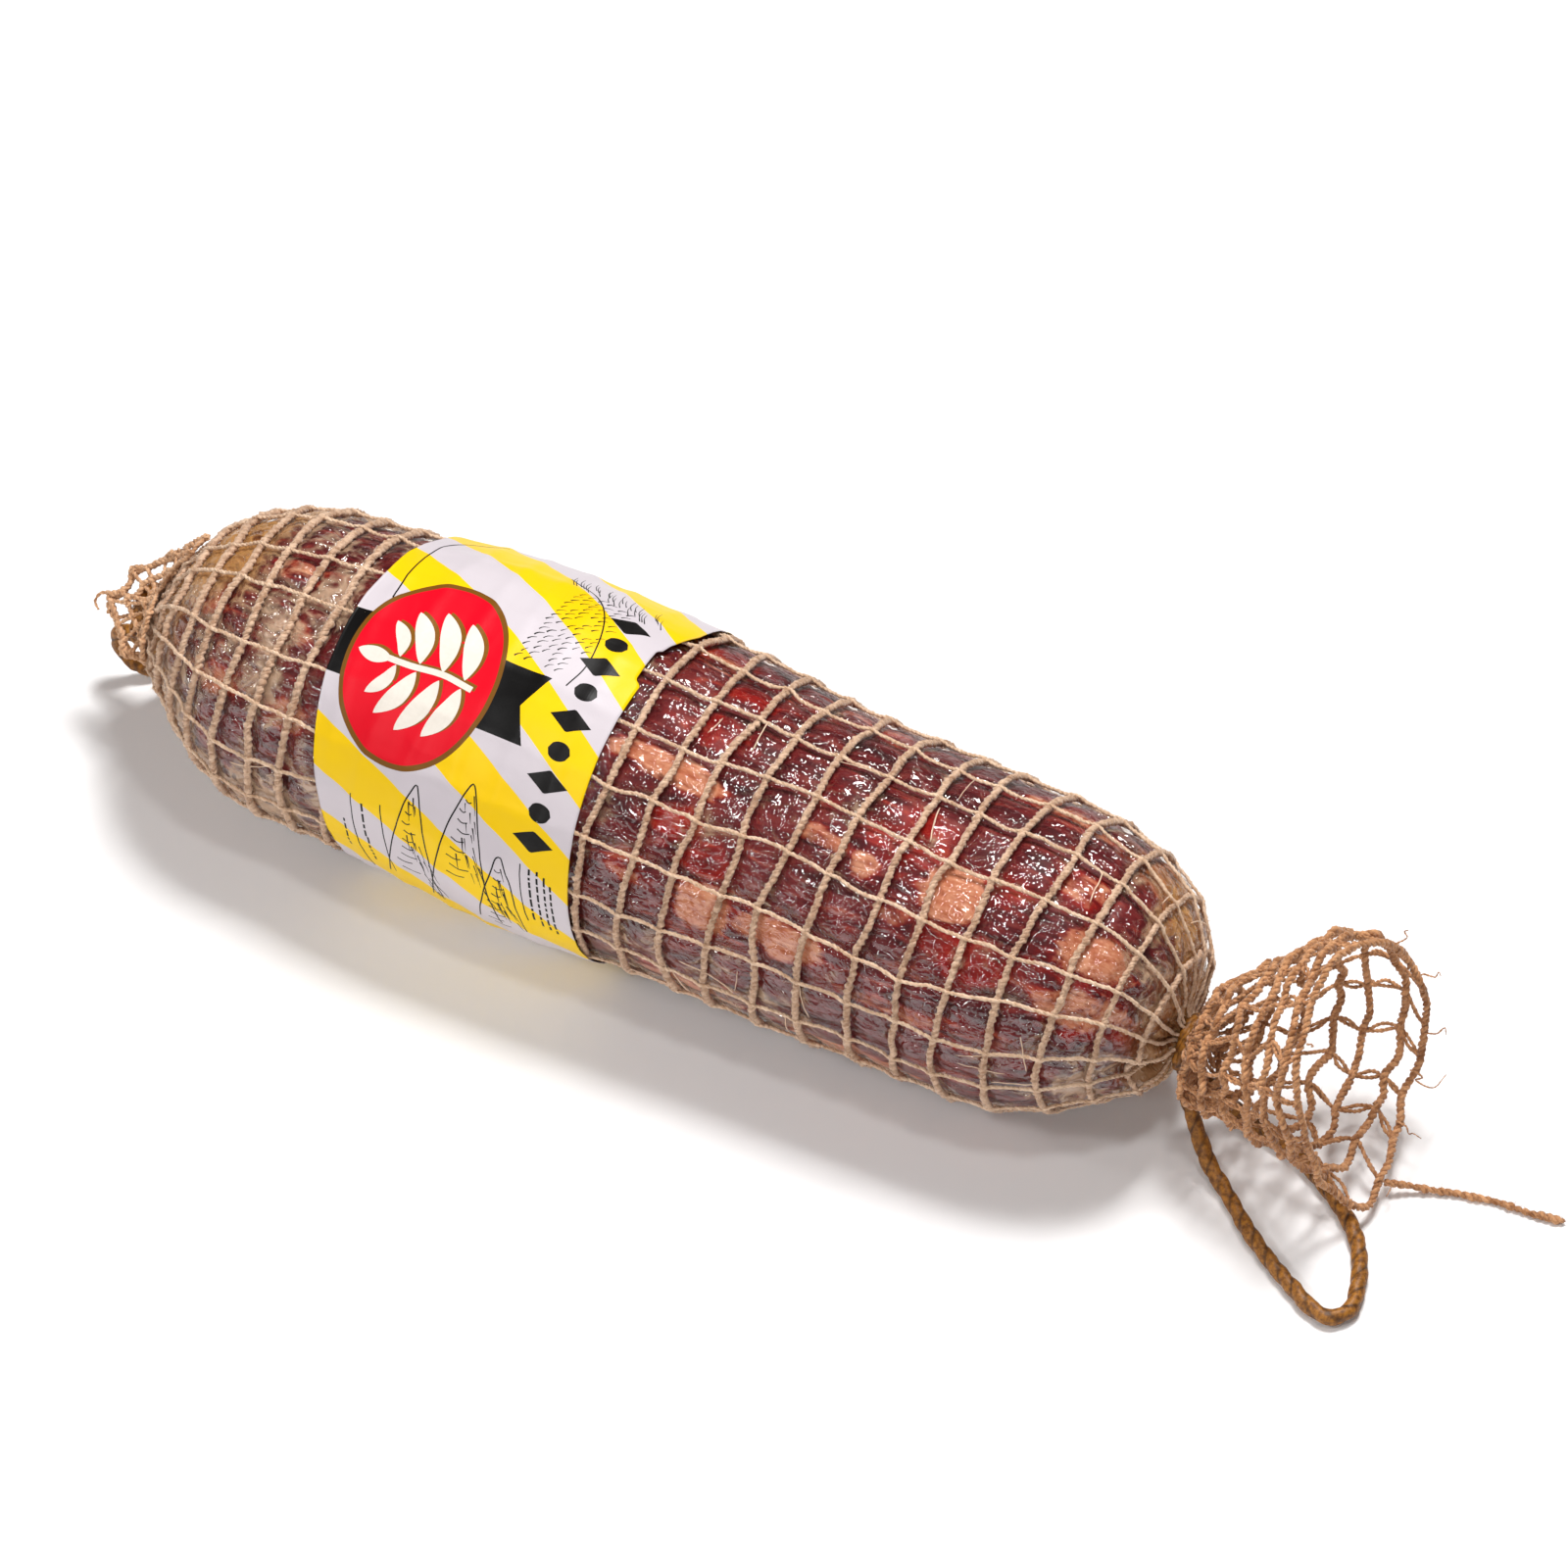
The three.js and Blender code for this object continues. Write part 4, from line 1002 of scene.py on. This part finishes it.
def stroke(pts, width, tint=0.0, lift=0.02, shape=None):
    """A stroke through print points (x, t) in mm. shape is 'leaf', 'lozenge', 'taper' or None."""
    pts = np.asarray(pts, float)
    p3 = np.concatenate([pts, np.zeros((len(pts), 1))], 1)
    line = resample(catmull(p3, 8) if len(pts) > 2 else p3, 0.7)[:, :2]
    n = len(line)
    s = np.linspace(0, 1, n)
    w = {None: np.ones(n), "leaf": np.sin(np.pi * s) ** 0.75, "lozenge": 1 - np.abs(2 * s - 1), "taper": 1 - 0.75 * s, "round": np.sqrt(np.clip(1 - (2 * s - 1) ** 2, 0, 1))}[shape]
    w = np.maximum(w * width, 0.07)
    d = unit(np.gradient(line, axis=0))
    side = np.stack([-d[:, 1], d[:, 0]], 1)
    m = 2 if width < 1.2 else 7
    off = np.linspace(-0.5, 0.5, m)
    g = line[:, None] + side[:, None] * (w[:, None] * off[None])[..., None]
    x, a = g[..., 0], g[..., 1] / RL
    h = label_h_at(x, a) + 0.12
    u = u_of(x)
    v = np.concatenate([body(u, a, h + lift).reshape(-1, 3), body(u, a, h - 0.05).reshape(-1, 3)])
    nn = n * m
    q = grid_faces(n, m, wrap=False)
    i = np.arange(n - 1)
    jj = np.arange(m - 1)
    quads = [q, q[:, ::-1] + nn,
             np.stack([i * m, (i + 1) * m, (i + 1) * m + nn, i * m + nn], -1),
             np.stack([(i + 1) * m + m - 1, i * m + m - 1, i * m + m - 1 + nn, (i + 1) * m + m - 1 + nn], -1),
             np.stack([jj + 1, jj, jj + nn, jj + 1 + nn], -1),
             np.stack([(n - 1) * m + jj, (n - 1) * m + jj + 1, (n - 1) * m + jj + 1 + nn, (n - 1) * m + jj + nn], -1)]
    quads = np.concatenate(quads)
    c = v[quads[: len(q)]].mean(1)
    e1_, e2_ = v[quads[: len(q), 1]] - v[quads[: len(q), 0]], v[quads[: len(q), 3]] - v[quads[: len(q), 0]]
    mid = np.array([c[:, 0].mean(), 0, 44.0])
    if (np.cross(e1_, e2_) * (c - mid)).sum() < 0:
        quads = quads[:, ::-1]
    ink.add(v, quads, None, tint=tint)


rng = np.random.default_rng(12)
# a plain sprig of leaves on the seal
for tint, ox, ot, lift, grow in ((0.5, 0.9, -0.7, 0.02, 1.05), (1.0, 0, 0, 0.06, 1.0)):
    c = np.array([ox, ot])
    stroke(np.array([(-40.5, 97.5), (-50, 96.4), (-60, 97.2), (-66, 97.0)]) + c, 1.7 * grow, tint, lift)
    for x0, ln, wd, up in ((-43.5, 15.5, 5.4, 5.5), (-50.0, 16.5, 5.8, 7.0), (-57.0, 14.0, 5.2, 7.0), (-63.0, 9.5, 4.0, 5.5)):
        for sgn in (-1, 1):
            p0 = np.array([x0, 97.0 + sgn * 1.2])
            p2 = p0 + np.array([-up, sgn * ln])
            p1 = (p0 + p2) / 2 + np.array([1.6, 0])
            stroke(np.array([p0, p1, p2]) + c, wd * grow, tint, lift, "leaf")
    stroke(np.array([(-65.0, 97.0), (-70, 97.2), (-75.0, 97.0)]) + c, 4.4 * grow, tint, lift, "leaf")
# a row of plain lozenges and dots
for k in range(9):
    t0 = 129.5 - 8.6 * k
    xm = -11.2 - 0.18 * k
    if k % 2 == 0:
        stroke([(xm + 6.0, t0), (xm, t0), (xm - 6.0, t0)], 6.6, 0, 0.03, "lozenge")
    else:
        stroke([(xm + 3.6, t0), (xm, t0), (xm - 3.0, t0)], 5.2, 0, 0.03, "round")
# hatched hills
for xc, wd, tp, base in ((-46.5, 8.5, 127.5, 166.0), (-31.0, 10.5, 120.5, 168.0), (-19.5, 7.0, 138.0, 166.0)):
    xs = np.linspace(xc - wd, xc + wd, 15)
    prof = tp + (base - tp) * np.abs((xs - xc) / wd) ** 1.45 + rng.normal(0, 0.5, 15)
    stroke(np.stack([xs, prof], 1), 0.42)
    for k in range(26):
        f = rng.uniform(-0.15, 0.95)
        x0 = xc + f * wd
        t0 = tp + (base - tp) * abs(f) ** 1.45 + rng.uniform(1.2, 20)
        ln = rng.uniform(2.2, 7.0)
        if t0 + ln > base + 2:
            continue
        stroke([(x0, t0), (x0 + 0.25 * ln * (0.4 + f), t0 + ln * 0.5), (x0 + 0.34 * ln * (0.6 + f), t0 + ln)], rng.uniform(0.28, 0.5), 0, 0.02, "taper")
    for k in range(9):
        t0 = tp + 5 + 3.1 * k
        half = wd * ((t0 - tp) / (base - tp)) ** 0.69 * 0.75
        x0 = xc - half * rng.uniform(0.5, 0.95)
        stroke([(x0, t0), (x0 + half * 0.5, t0 + 0.8), (x0 + half * rng.uniform(0.8, 1.1), t0 + 0.3)], 0.34)
# a hatched slope by the ribbon, and another near the upper edge
for k in range(15):
    t0 = 84.5 - 2.0 * k
    for m in range(6):
        x0 = -34 + 2.9 * m + rng.uniform(-0.5, 0.5) + 0.24 * k
        if x0 > -15.5 or (k < 4 and x0 > -20) or rng.random() < 0.12:
            continue
        stroke([(x0, t0), (x0 + 0.7, t0 - 0.9), (x0 + rng.uniform(1.2, 2.4), t0 - 1.5)], rng.uniform(0.3, 0.55), 0, 0.02, "taper")
stroke([(-36, 50), (-28, 53), (-21, 60), (-16.8, 70), (-15.6, 80), (-17.4, 87)], 0.4)
for k in range(30):
    x0, t0 = -34 + 0.95 * k + rng.normal(0, 0.3), 49 + 5 * rng.random() + 0.12 * k
    stroke([(x0, t0), (x0 - 1.3, t0 - 2.4), (x0 - 1.8, t0 - rng.uniform(4, 7))], 0.34, 0, 0.02, "taper")
# thin rules, and dashes in place of small print
stroke([(-73.6, 80), (-74.2, 66), (-72.6, 52), (-68.5, 44), (-60, 38)], 0.45)
for pts in ([(-65.2, 137), (-63.8, 150), (-61.0, 170)], [(-56.0, 137), (-54.4, 150), (-52.6, 164)], [(-13.6, 137.5), (-12.8, 147), (-11.0, 158)]):
    stroke(pts, 0.36)
for x0, t0, t1 in ((-67.4, 148, 161), (-61.6, 139, 150), (-60.0, 152, 163), (-10.8, 138, 156), (-8.6, 138, 157), (-6.4, 139, 158), (-4.4, 141, 159)):
    t = t0
    while t < t1:
        ln = rng.uniform(0.9, 3.2)
        stroke([(x0 + 0.09 * (t - t0), t), (x0 + 0.09 * (t + ln - t0), t + ln)], 0.62, 0, 0.02)
        t += ln + rng.uniform(0.6, 0.9)
im = Mat("label_ink", 0.42)
g_ = im.noise(im.coord((1, 1, 1)), 900.0, 2)
blk = im.mix(g_, rgb(10, 9, 9), rgb(26, 24, 24))
cc = im.mix(im.math("GREATER_THAN", im.attr("tint"), 0.25), blk, im.mix(g_, rgb(120, 76, 20), rgb(140, 92, 28)))
cc = im.mix(im.math("GREATER_THAN", im.attr("tint"), 0.75), cc, im.mix(g_, rgb(222, 214, 202), rgb(232, 226, 216)))
im.link(cc, im.b.inputs["Base Color"])
im.b.inputs["Specular IOR Level"].default_value = 0.2
ink_ob = ink.build("label_band_ink", im.m, smooth=False)
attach(ink_ob, "root")
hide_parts("label_band")

# ---- the free end of the net: an open bell -------------------------------------------------------
RIM = np.array([(212.4, 36, 40.6), (208.4, 34, 57.7), (203.9, 26, 71), (197.5, 8, 76.5), (201, -13, 65), (204, -21, 46), (208, -15.5, 24.5), (216.6, -9.4, 7.2), (215.8, 5.8, 6.6), (211.7, 27, 16.2)], float)
RIM_MID = np.array([206.5, 8, 40.0])
BELL = [(165.2, 2, 34.6, 16.0, 0), (170.5, 3.2, 36.2, 18.8, 0.4), (178.0, 5, 38.8, 22.2, 1.2), (188.0, 8, 41.2, 27.6, 3), (197.6, 9, 42.2, 31.4, 6)]
rim_line = catmull(RIM, 60, closed=True)
rim_ang = np.unwrap(np.arctan2(rim_line[:, 2] - RIM_MID[2], rim_line[:, 1] - RIM_MID[1]))


def rim_at(a):
    ang = np.arctan2(rim_line[:, 2] - RIM_MID[2], rim_line[:, 1] - RIM_MID[1])
    o = np.argsort(ang)
    aa = (np.asarray(a, float) + np.pi) % (2 * np.pi) - np.pi
    return np.stack([np.interp(aa, ang[o], rim_line[o, kk], period=2 * np.pi) for kk in range(3)], -1)


def bell_sections(a):
    """Points of each section at angles a: (section, angle, 3)."""
    a = np.asarray(a, float)
    rows = []
    for x, y, z, r in ((160.6, 0.4, 34.6, 3.4), (162.9, 0.9, 34.7, 5.2), (163.6, 1.4, 34.8, 10.0)):
        rows.append(np.stack([np.full(a.shape, x), y + r * np.cos(a), z + r * np.sin(a)], -1))
    for x, y, z, r, leanx in BELL:
        rows.append(np.stack([x - leanx * np.sin(a), y + r * np.cos(a), z + r * np.sin(a)], -1))
    rows.append(rim_at(a))
    return np.stack(rows)


BELL_KNOTS = np.array([0, 0.05, 0.11, 0.20, 0.30, 0.44, 0.64, 0.84, 1.0])


def bell(s, a):
    """A point of the bell at s from the neck (0) to the rim (1) and angle a."""
    s, a = np.broadcast_arrays(np.asarray(s, float), np.asarray(a, float))
    sec = bell_sections(a.ravel())
    ss = np.clip(s.ravel(), 0, 1)
    kk = np.clip(np.searchsorted(BELL_KNOTS, ss, side="right") - 1, 0, len(BELL_KNOTS) - 2)
    idx = np.arange(len(ss))
    t = ((ss - BELL_KNOTS[kk]) / (BELL_KNOTS[kk + 1] - BELL_KNOTS[kk]))[:, None]
    p1, p2 = sec[kk, idx], sec[kk + 1, idx]
    p0 = sec[np.maximum(kk - 1, 0), idx]
    p3 = sec[np.minimum(kk + 2, len(BELL_KNOTS) - 1), idx]
    h0 = (BELL_KNOTS[kk + 1] - BELL_KNOTS[kk])[:, None]
    hm = np.maximum((BELL_KNOTS[kk + 1] - BELL_KNOTS[np.maximum(kk - 1, 0)])[:, None], 1e-6)
    hp = np.maximum((BELL_KNOTS[np.minimum(kk + 2, len(BELL_KNOTS) - 1)] - BELL_KNOTS[kk])[:, None], 1e-6)
    m1, m2 = (p2 - p0) / hm * h0, (p3 - p1) / hp * h0
    t2, t3 = t * t, t * t * t
    out = (2 * t3 - 3 * t2 + 1) * p1 + (t3 - 2 * t2 + t) * m1 + (-2 * t3 + 3 * t2) * p2 + (t3 - t2) * m2
    out[:, 2] = np.maximum(out[:, 2], 1.6)
    return out.reshape(s.shape + (3,))


def bell_up(s, a):
    c = np.array([0.0, 6.0, 39.0])
    p = bell(s, a)
    return unit(p - (c + np.stack([p[..., 0], 0 * p[..., 0], 0 * p[..., 0]], -1)))


rng = np.random.default_rng(77)
bell_soup = Soup()
NB = 17
BR = np.array([0.22, 0.33, 0.46, 0.60, 0.74, 0.875, 0.985])
BA = 2 * np.pi * (np.arange(NB) + 0.3) / NB
knot_s = BR[:, None] + rng.normal(0, 0.016, (len(BR), NB))
knot_a = BA[None, :] + rng.normal(0, 0.045, (len(BR), NB)) + 0.12 * (np.arange(len(BR))[:, None] % 2)
knot_off = rng.normal(0, 0.9, (len(BR), NB))
# rings: thick uneven yarn from knot to knot
for i in range(len(BR)):
    kp = []
    for jx in range(NB):
        p = bell(knot_s[i, jx], knot_a[i, jx]) + bell_up(knot_s[i, jx], knot_a[i, jx]) * knot_off[i, jx] * (0.4 + 0.6 * BR[i])
        nxt = (jx + 1) % NB
        an = knot_a[i, nxt] + (2 * np.pi if nxt == 0 else 0)
        ms, ma = (knot_s[i, jx] + knot_s[i, nxt]) / 2 + rng.normal(0.012, 0.012), (knot_a[i, jx] + an) / 2
        mp = bell(ms, ma) + bell_up(ms, ma) * rng.normal(0.3, 0.7)
        kp += [p, mp]
    lp = resample(catmull(kp, 10, closed=True), 0.6, closed=True)
    plied(bell_soup, lp, 0.66 + 0.05 * (i % 2), 0.52, 3.4, sides=6, closed=True, seed=800 + i, rough=0.4, wander=0.55)
    _, nn_, _ = frames_along(lp, True)
    fuzz(bell_soup, lp, nn_, int(len(lp) * 0.5), 1.4, 0.05, 860 + i, 0.5)
# lengthwise yarns: pairs that part between the rings and close at each knot
for jx in range(NB):
    for side in (-1, 1):
        pts = [bell(0.0, BA[jx] + 0.1 * side), bell(0.08, BA[jx] + 0.06 * side), bell(0.15, BA[jx])]
        for i in range(len(BR)):
            kp = bell(knot_s[i, jx], knot_a[i, jx]) + bell_up(knot_s[i, jx], knot_a[i, jx]) * knot_off[i, jx] * (0.4 + 0.6 * BR[i])
            pts.append(kp + rng.normal(0, 0.15, 3))
            if i < len(BR) - 1:
                s2, a2 = (knot_s[i, jx] + knot_s[i + 1, jx]) / 2, (knot_a[i, jx] + knot_a[i + 1, jx]) / 2
                pts.append(bell(s2, a2 + side * 0.024 + rng.normal(0, 0.012)) + bell_up(s2, a2) * rng.normal(0, 0.4))
        lp = resample(catmull(pts, 10), 0.6)
        plied(bell_soup, lp, 0.36, 0.24, 2.6, sides=5, seed=900 + 2 * jx + side, rough=0.4, wander=0.35)
        _, nn_, _ = frames_along(lp)
        fuzz(bell_soup, lp, nn_, int(len(lp) * 0.35), 1.3, 0.045, 960 + 2 * jx + side, 0.5)
# knots: a short turn of yarn round each crossing
for i in range(len(BR)):
    for jx in range(NB):
        c0 = bell(knot_s[i, jx], knot_a[i, jx]) + bell_up(knot_s[i, jx], knot_a[i, jx]) * knot_off[i, jx] * (0.4 + 0.6 * BR[i])
        upv = bell_up(knot_s[i, jx], knot_a[i, jx])
        tang = unit(bell(min(knot_s[i, jx] + 0.02, 1), knot_a[i, jx]) - bell(knot_s[i, jx] - 0.02, knot_a[i, jx]))
        side = np.cross(upv, tang)
        th = np.linspace(0, 2.2 * np.pi, 15) + rng.uniform(0, 6)
        lp = c0 + 1.0 * np.cos(th)[:, None] * upv + 0.95 * np.sin(th)[:, None] * side + np.linspace(-0.7, 0.7, 15)[:, None] * tang
        sweep(bell_soup, lp, 0.42 + 0.08 * rng.random(15), 6, shade=rng.random())
# the puckered neck: many folds of net drawn together
for k in range(46):
    a0 = rng.uniform(0, 2 * np.pi)
    s1 = rng.uniform(0.16, 0.34)
    ss = np.linspace(0.0, s1, 12)
    aa = a0 + np.cumsum(rng.normal(0, 0.035, 12))
    lp = bell(ss, aa) + bell_up(ss, aa) * (rng.uniform(-1.6, 1.4) * np.sin(np.pi * ss / s1))[:, None]
    lp = resample(catmull(lp, 5), 0.6)
    plied(bell_soup, lp, 0.42, 0.30, 2.8, sides=5, seed=1200 + k, rough=0.4, wander=0.4)
# loose frayed fibres at the rim
for (a0, ln, dx, dy, dz) in ((0.35, 7, 0.9, 0.5, 0.15), (-0.35, 10, 1, 0.35, 0.1), (-0.75, 9, 0.8, 0.1, -0.35), (0.9, 5, 0.6, 0.4, 0.5), (2.2, 4, 0.5, -0.3, 0.6), (-1.7, 6, 0.9, -0.4, 0.0), (-1.2, 7, 1.0, -0.1, -0.1)):
    p0 = bell(0.985, a0)
    d = unit(np.array([[dx, dy, dz]]))[0]
    pts = [p0 + d * ln * t + rng.normal(0, 0.16 * ln * t + 0.01, 3) for t in np.linspace(0, 1, 6)]
    pts = np.array(pts)
    pts[:, 2] = np.maximum(pts[:, 2], 0.6)
    lp = resample(catmull(pts, 8), 0.5)
    plied(bell_soup, lp, 0.22, 0.14, 2.0, sides=5, seed=1300 + int(a0 * 10), rough=0.5, taper=np.linspace(1, 0.4, len(lp)))
bell_ob = bell_soup.build("net_tail_bell", browned.m)
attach(bell_ob, "root")
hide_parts("net_tail")

# ---- the short tuft at the other end -------------------------------------------------------------
rng = np.random.default_rng(31)
tuft = Soup()
N0 = np.array([-153.6, 0.0, 37.6])
E1, E2, E3 = RIGHT, UP, TO_CAM  # the flattened tuft lies in this slanted plane
TB = np.array([(16.2, 17.4), (14.0, 17.0), (11.0, 16.2), (8.8, 13.6), (7.0, 14.4), (4.6, 12.8), (1.6, 12.2), (-1.6, 10.2), (-4.4, 10.6), (-5.0, 6.6), (-8.0, 4.2), (-12.9, 3.6),
               (-10.2, 0.8), (-9.6, -2.6), (-7.6, -6.2), (-7.4, -9.4), (-7.0, -11.8), (-3.6, -13.6), (0.4, -13.2), (2.2, -10.4), (2.8, -6.4)])
TC = np.array([4.0, 1.0])


def clear_of_body(p, gap):
    """Moves points that would lie inside the body's left end out to its surface."""
    x = p[:, 0]
    rr = np.interp(x, PX[: len(PX) // 2], PR[: len(PX) // 2])
    mid = girth(np.clip(x, CAP_L, CAP_R)) - 1.2 + 2.6 * sstep(-x, 104, 150) - 7.4 * (1 - sstep(rr, 7, 38)) * sstep(-x + POLE_L, -24, -6)
    y, z = p[:, 1], p[:, 2] - mid
    d = np.maximum(np.hypot(y, z), 1e-6)
    k = np.where((x > -151.0) & (d < rr + gap), (rr + gap) / d, 1.0)
    out = np.stack([x, y * k, mid + z * k], 1)
    out[:, 2] = np.maximum(out[:, 2], 1.5)
    return out


def sheet_at(f, s, layer):
    """f runs along the free edge (0..1), s from the neck (0) to the edge (1), layer is +1 in front and -1 behind."""
    f, s = np.broadcast_arrays(np.asarray(f, float), np.asarray(s, float))
    at = np.clip(f, 0, 1) * (len(TB) - 1)
    bx, by = np.interp(at, np.arange(len(TB)), TB[:, 0]), np.interp(at, np.arange(len(TB)), TB[:, 1])
    sx, sy = TC[0] + s * (bx - TC[0]), TC[1] + s * (by - TC[1])
    seed3 = np.stack([sx / 3.2, sy / 3.2, np.full(sx.shape, 3.0 * layer)], -1)
    sx = sx + 0.9 * noise3(seed3, 201) * s
    sy = sy + 0.9 * noise3(seed3, 202) * s
    dz = np.interp(sx, [-13, -4, 4, 10, 16], [1, 2.5, 6, 14, 20]) + layer * 2.6 * np.sin(np.pi * np.clip(s, 0, 1)) + 1.6 * noise3(seed3 * 0.8, 203)
    p = N0 + sx[..., None] * E1 + sy[..., None] * E2 + dz[..., None] * E3
    return clear_of_body(p.reshape(-1, 3), 1.3).reshape(p.shape)


for layer in (1, -1):
    nf = 13 if layer == 1 else 7
    fs = np.linspace(0.0, 1.0, nf)
    rows = (0.34, 0.66, 0.97) if layer == 1 else (0.50, 0.95)
    kf = fs[None, :] + rng.normal(0, 0.008, (len(rows), nf))
    ks = np.array(rows)[:, None] + rng.normal(0, 0.022, (len(rows), nf))
    for i in range(len(rows)):  # crosswise yarns
        f = np.sort(np.concatenate([kf[i], (kf[i][1:] + kf[i][:-1]) / 2]))
        sr = np.interp(f, np.sort(kf[i]), ks[i]) + 0.02 * noise3(np.stack([f * 40, f * 0 + i, f * 0 + layer], 1), 204)
        lp = resample(catmull(sheet_at(f, sr, layer), 8), 0.55)
        plied(tuft, lp, 0.54, 0.42, 3.0, sides=6, seed=1400 + 10 * i + layer, rough=0.45, wander=0.5)
        _, nn_, _ = frames_along(lp)
        fuzz(tuft, lp, nn_, int(len(lp) * 0.7), 1.1, 0.05, 1450 + 10 * i + layer, 0.8)
    for jx in range(nf):  # yarns from the neck outwards
        s_ = np.concatenate([[0.0, 0.12], ks[:, jx]])
        f_ = np.concatenate([[kf[0, jx], kf[0, jx]], kf[:, jx]])
        pts = sheet_at(f_, s_, layer)
        pts[0] = N0 + np.array([1.5, 2.6 * math.cos(6.3 * fs[jx]), 2.6 * math.sin(6.3 * fs[jx])])
        lp = resample(catmull(pts, 9), 0.55)
        plied(tuft, lp, 0.40, 0.28, 2.6, sides=5, seed=1500 + jx + 40 * layer, rough=0.4, wander=0.4)
        _, nn_, _ = frames_along(lp)
        fuzz(tuft, lp, nn_, int(len(lp) * 0.5), 1.1, 0.045, 1600 + jx + 40 * layer, 0.8)
        for i in range(len(rows)):  # knots
            c0 = sheet_at(kf[i, jx], ks[i, jx], layer).reshape(3)
            th = np.linspace(0, 2.2 * np.pi, 12) + rng.uniform(0, 6)
            e = unit(rng.normal(0, 1, (1, 3)))[0]
            f2 = unit(np.cross(e, [0.3, 0.5, 0.8])[None])[0]
            knot = c0 + 0.75 * np.cos(th)[:, None] * e + 0.75 * np.sin(th)[:, None] * f2 + np.linspace(-0.5, 0.5, 12)[:, None] * np.cross(e, f2)
            sweep(tuft, knot, 0.36 + 0.06 * rng.random(12), 6, shade=rng.random())
# the loose curl and short ends at the free edge
for pts in (
    [(-7.0, 4.4), (-10.0, 4.0), (-13.0, 3.9), (-14.2, 1.8), (-13.4, -0.4)],
    [(-4.6, 6.0), (-5.0, 9.0), (-4.6, 11.0), (-2.4, 10.6)],
    [(-9.6, 1.0), (-10.4, 0.0), (-11.0, -1.6)],
    [(-7.4, -10.6), (-7.0, -12.4), (-5.8, -13.6)],
    [(7.6, 14.2), (8.4, 15.4), (9.6, 14.6)],
    [(0.6, -13.0), (1.4, -15.6), (0.8, -17.6)],
):
    pts = np.array(pts)
    d = np.interp(pts[:, 0], [-13, -4, 4, 10, 16], [1, 2.5, 6, 14, 20])
    lp = clear_of_body(N0 + pts[:, :1] * E1 + pts[:, 1:] * E2 + d[:, None] * E3, 1.3)
    lp = resample(catmull(lp, 8), 0.5)
    plied(tuft, lp, 0.44, 0.32, 2.8, sides=6, seed=int(1700 + 9 * pts[0, 0]), rough=0.5, wander=0.3, taper=np.linspace(1, 0.5, len(lp)))
    _, nn_, _ = frames_along(lp)
    fuzz(tuft, lp, nn_, int(len(lp) * 1.2), 1.4, 0.045, int(1800 + 9 * pts[0, 0]), 0.8)
tuft_mat = yarn_material("tuft_net", rgb(224, 180, 140), rgb(160, 112, 74))
tuft_ob = tuft.build("net_tuft_crumpled", tuft_mat.m)
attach(tuft_ob, "root")
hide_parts("net_tuft")

# ---- the ties round the necks --------------------------------------------------------------------
def tie(name, x, z, node, seed):
    soup = Soup()
    turns = 3
    n = 260
    th = np.linspace(-0.5 * np.pi - 0.3, 2 * np.pi * turns - 0.5 * np.pi + 0.3, n)
    s = np.linspace(-1, 1, n)
    r = 6.6 + 0.35 * np.sin(2.2 * th)
    lp = np.stack([x + 1.5 * s + 0.2 * np.sin(3 * th), r * np.cos(th), z + r * np.sin(th)], 1)
    twisted_string(soup, lp, 2.5, pitch=7.0, seed=seed, lobes=2, step=0.6)
    k = np.linspace(0, 2 * np.pi, 40)
    knot = np.stack([x + 2.0 * np.sin(k), 2.3 * np.sin(2 * k), z - 8.6 - 1.5 * np.cos(k)], 1)
    twisted_string(soup, knot, 2.7, pitch=7.0, seed=seed + 1, lobes=2, step=0.5)
    ob = soup.build(name, twine.m)
    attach(ob, "root")
    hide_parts(node)


tie("neck_tie_right_wound", 161.3, 33.8, "neck_tie_right", 5)
tie("neck_tie_left_wound", -153.6, 35.8, "neck_tie_left", 6)

# ---- floor and light -----------------------------------------------------------------------------
bpy.ops.mesh.primitive_plane_add(size=8.0, location=(0, 0, 0))
floor = bpy.context.object
floor.name = "floor"
flm = Mat("studio_floor", 0.9)
flm.b.inputs["Base Color"].default_value = (0.95, 0.95, 0.955, 1)
flm.b.inputs["Specular IOR Level"].default_value = 0.1
floor.data.materials.append(flm.m)

world = bpy.data.worlds.new("studio")
world.use_nodes = True
world.node_tree.nodes["Background"].inputs[0].default_value = (1.0, 0.82, 0.75, 1)
world.node_tree.nodes["Background"].inputs[1].default_value = 0.10
scene.world = world


def area(name, direction, dist, size, radiance, colour=(1, 1, 1), size_y=None):
    l = bpy.data.lights.new(name, "AREA")
    l.shape = "RECTANGLE"
    l.size, l.size_y = size, size_y or size
    l.energy = radiance * math.pi * l.size * l.size_y
    l.color = colour
    o = bpy.data.objects.new(name, l)
    scene.collection.objects.link(o)
    d = unit(np.array([direction], float))[0]
    o.location = Vector(d * dist + np.array([0, 0, 0.04]))
    o.rotation_mode = "QUATERNION"
    o.rotation_quaternion = Vector(d).to_track_quat("Z", "Y")
    return o


area("key", (0.045, 0.306, 0.951), 1.15, 0.34, 38.5, (1.0, 0.995, 0.99))
area("front_high", (-0.30, -0.62, 0.72), 1.15, 0.13, 38.0)
area("front_right", (0.50, -0.70, 0.45), 1.15, 0.13, 36.0)
area("front_low", (-0.30, -0.84, 0.42), 1.15, 0.12, 34.0)
area("left_low", (-0.85, -0.40, 0.50), 1.15, 0.10, 38.0)
area("spark", (0.30, -0.22, 1.0), 1.15, 0.11, 42.0)
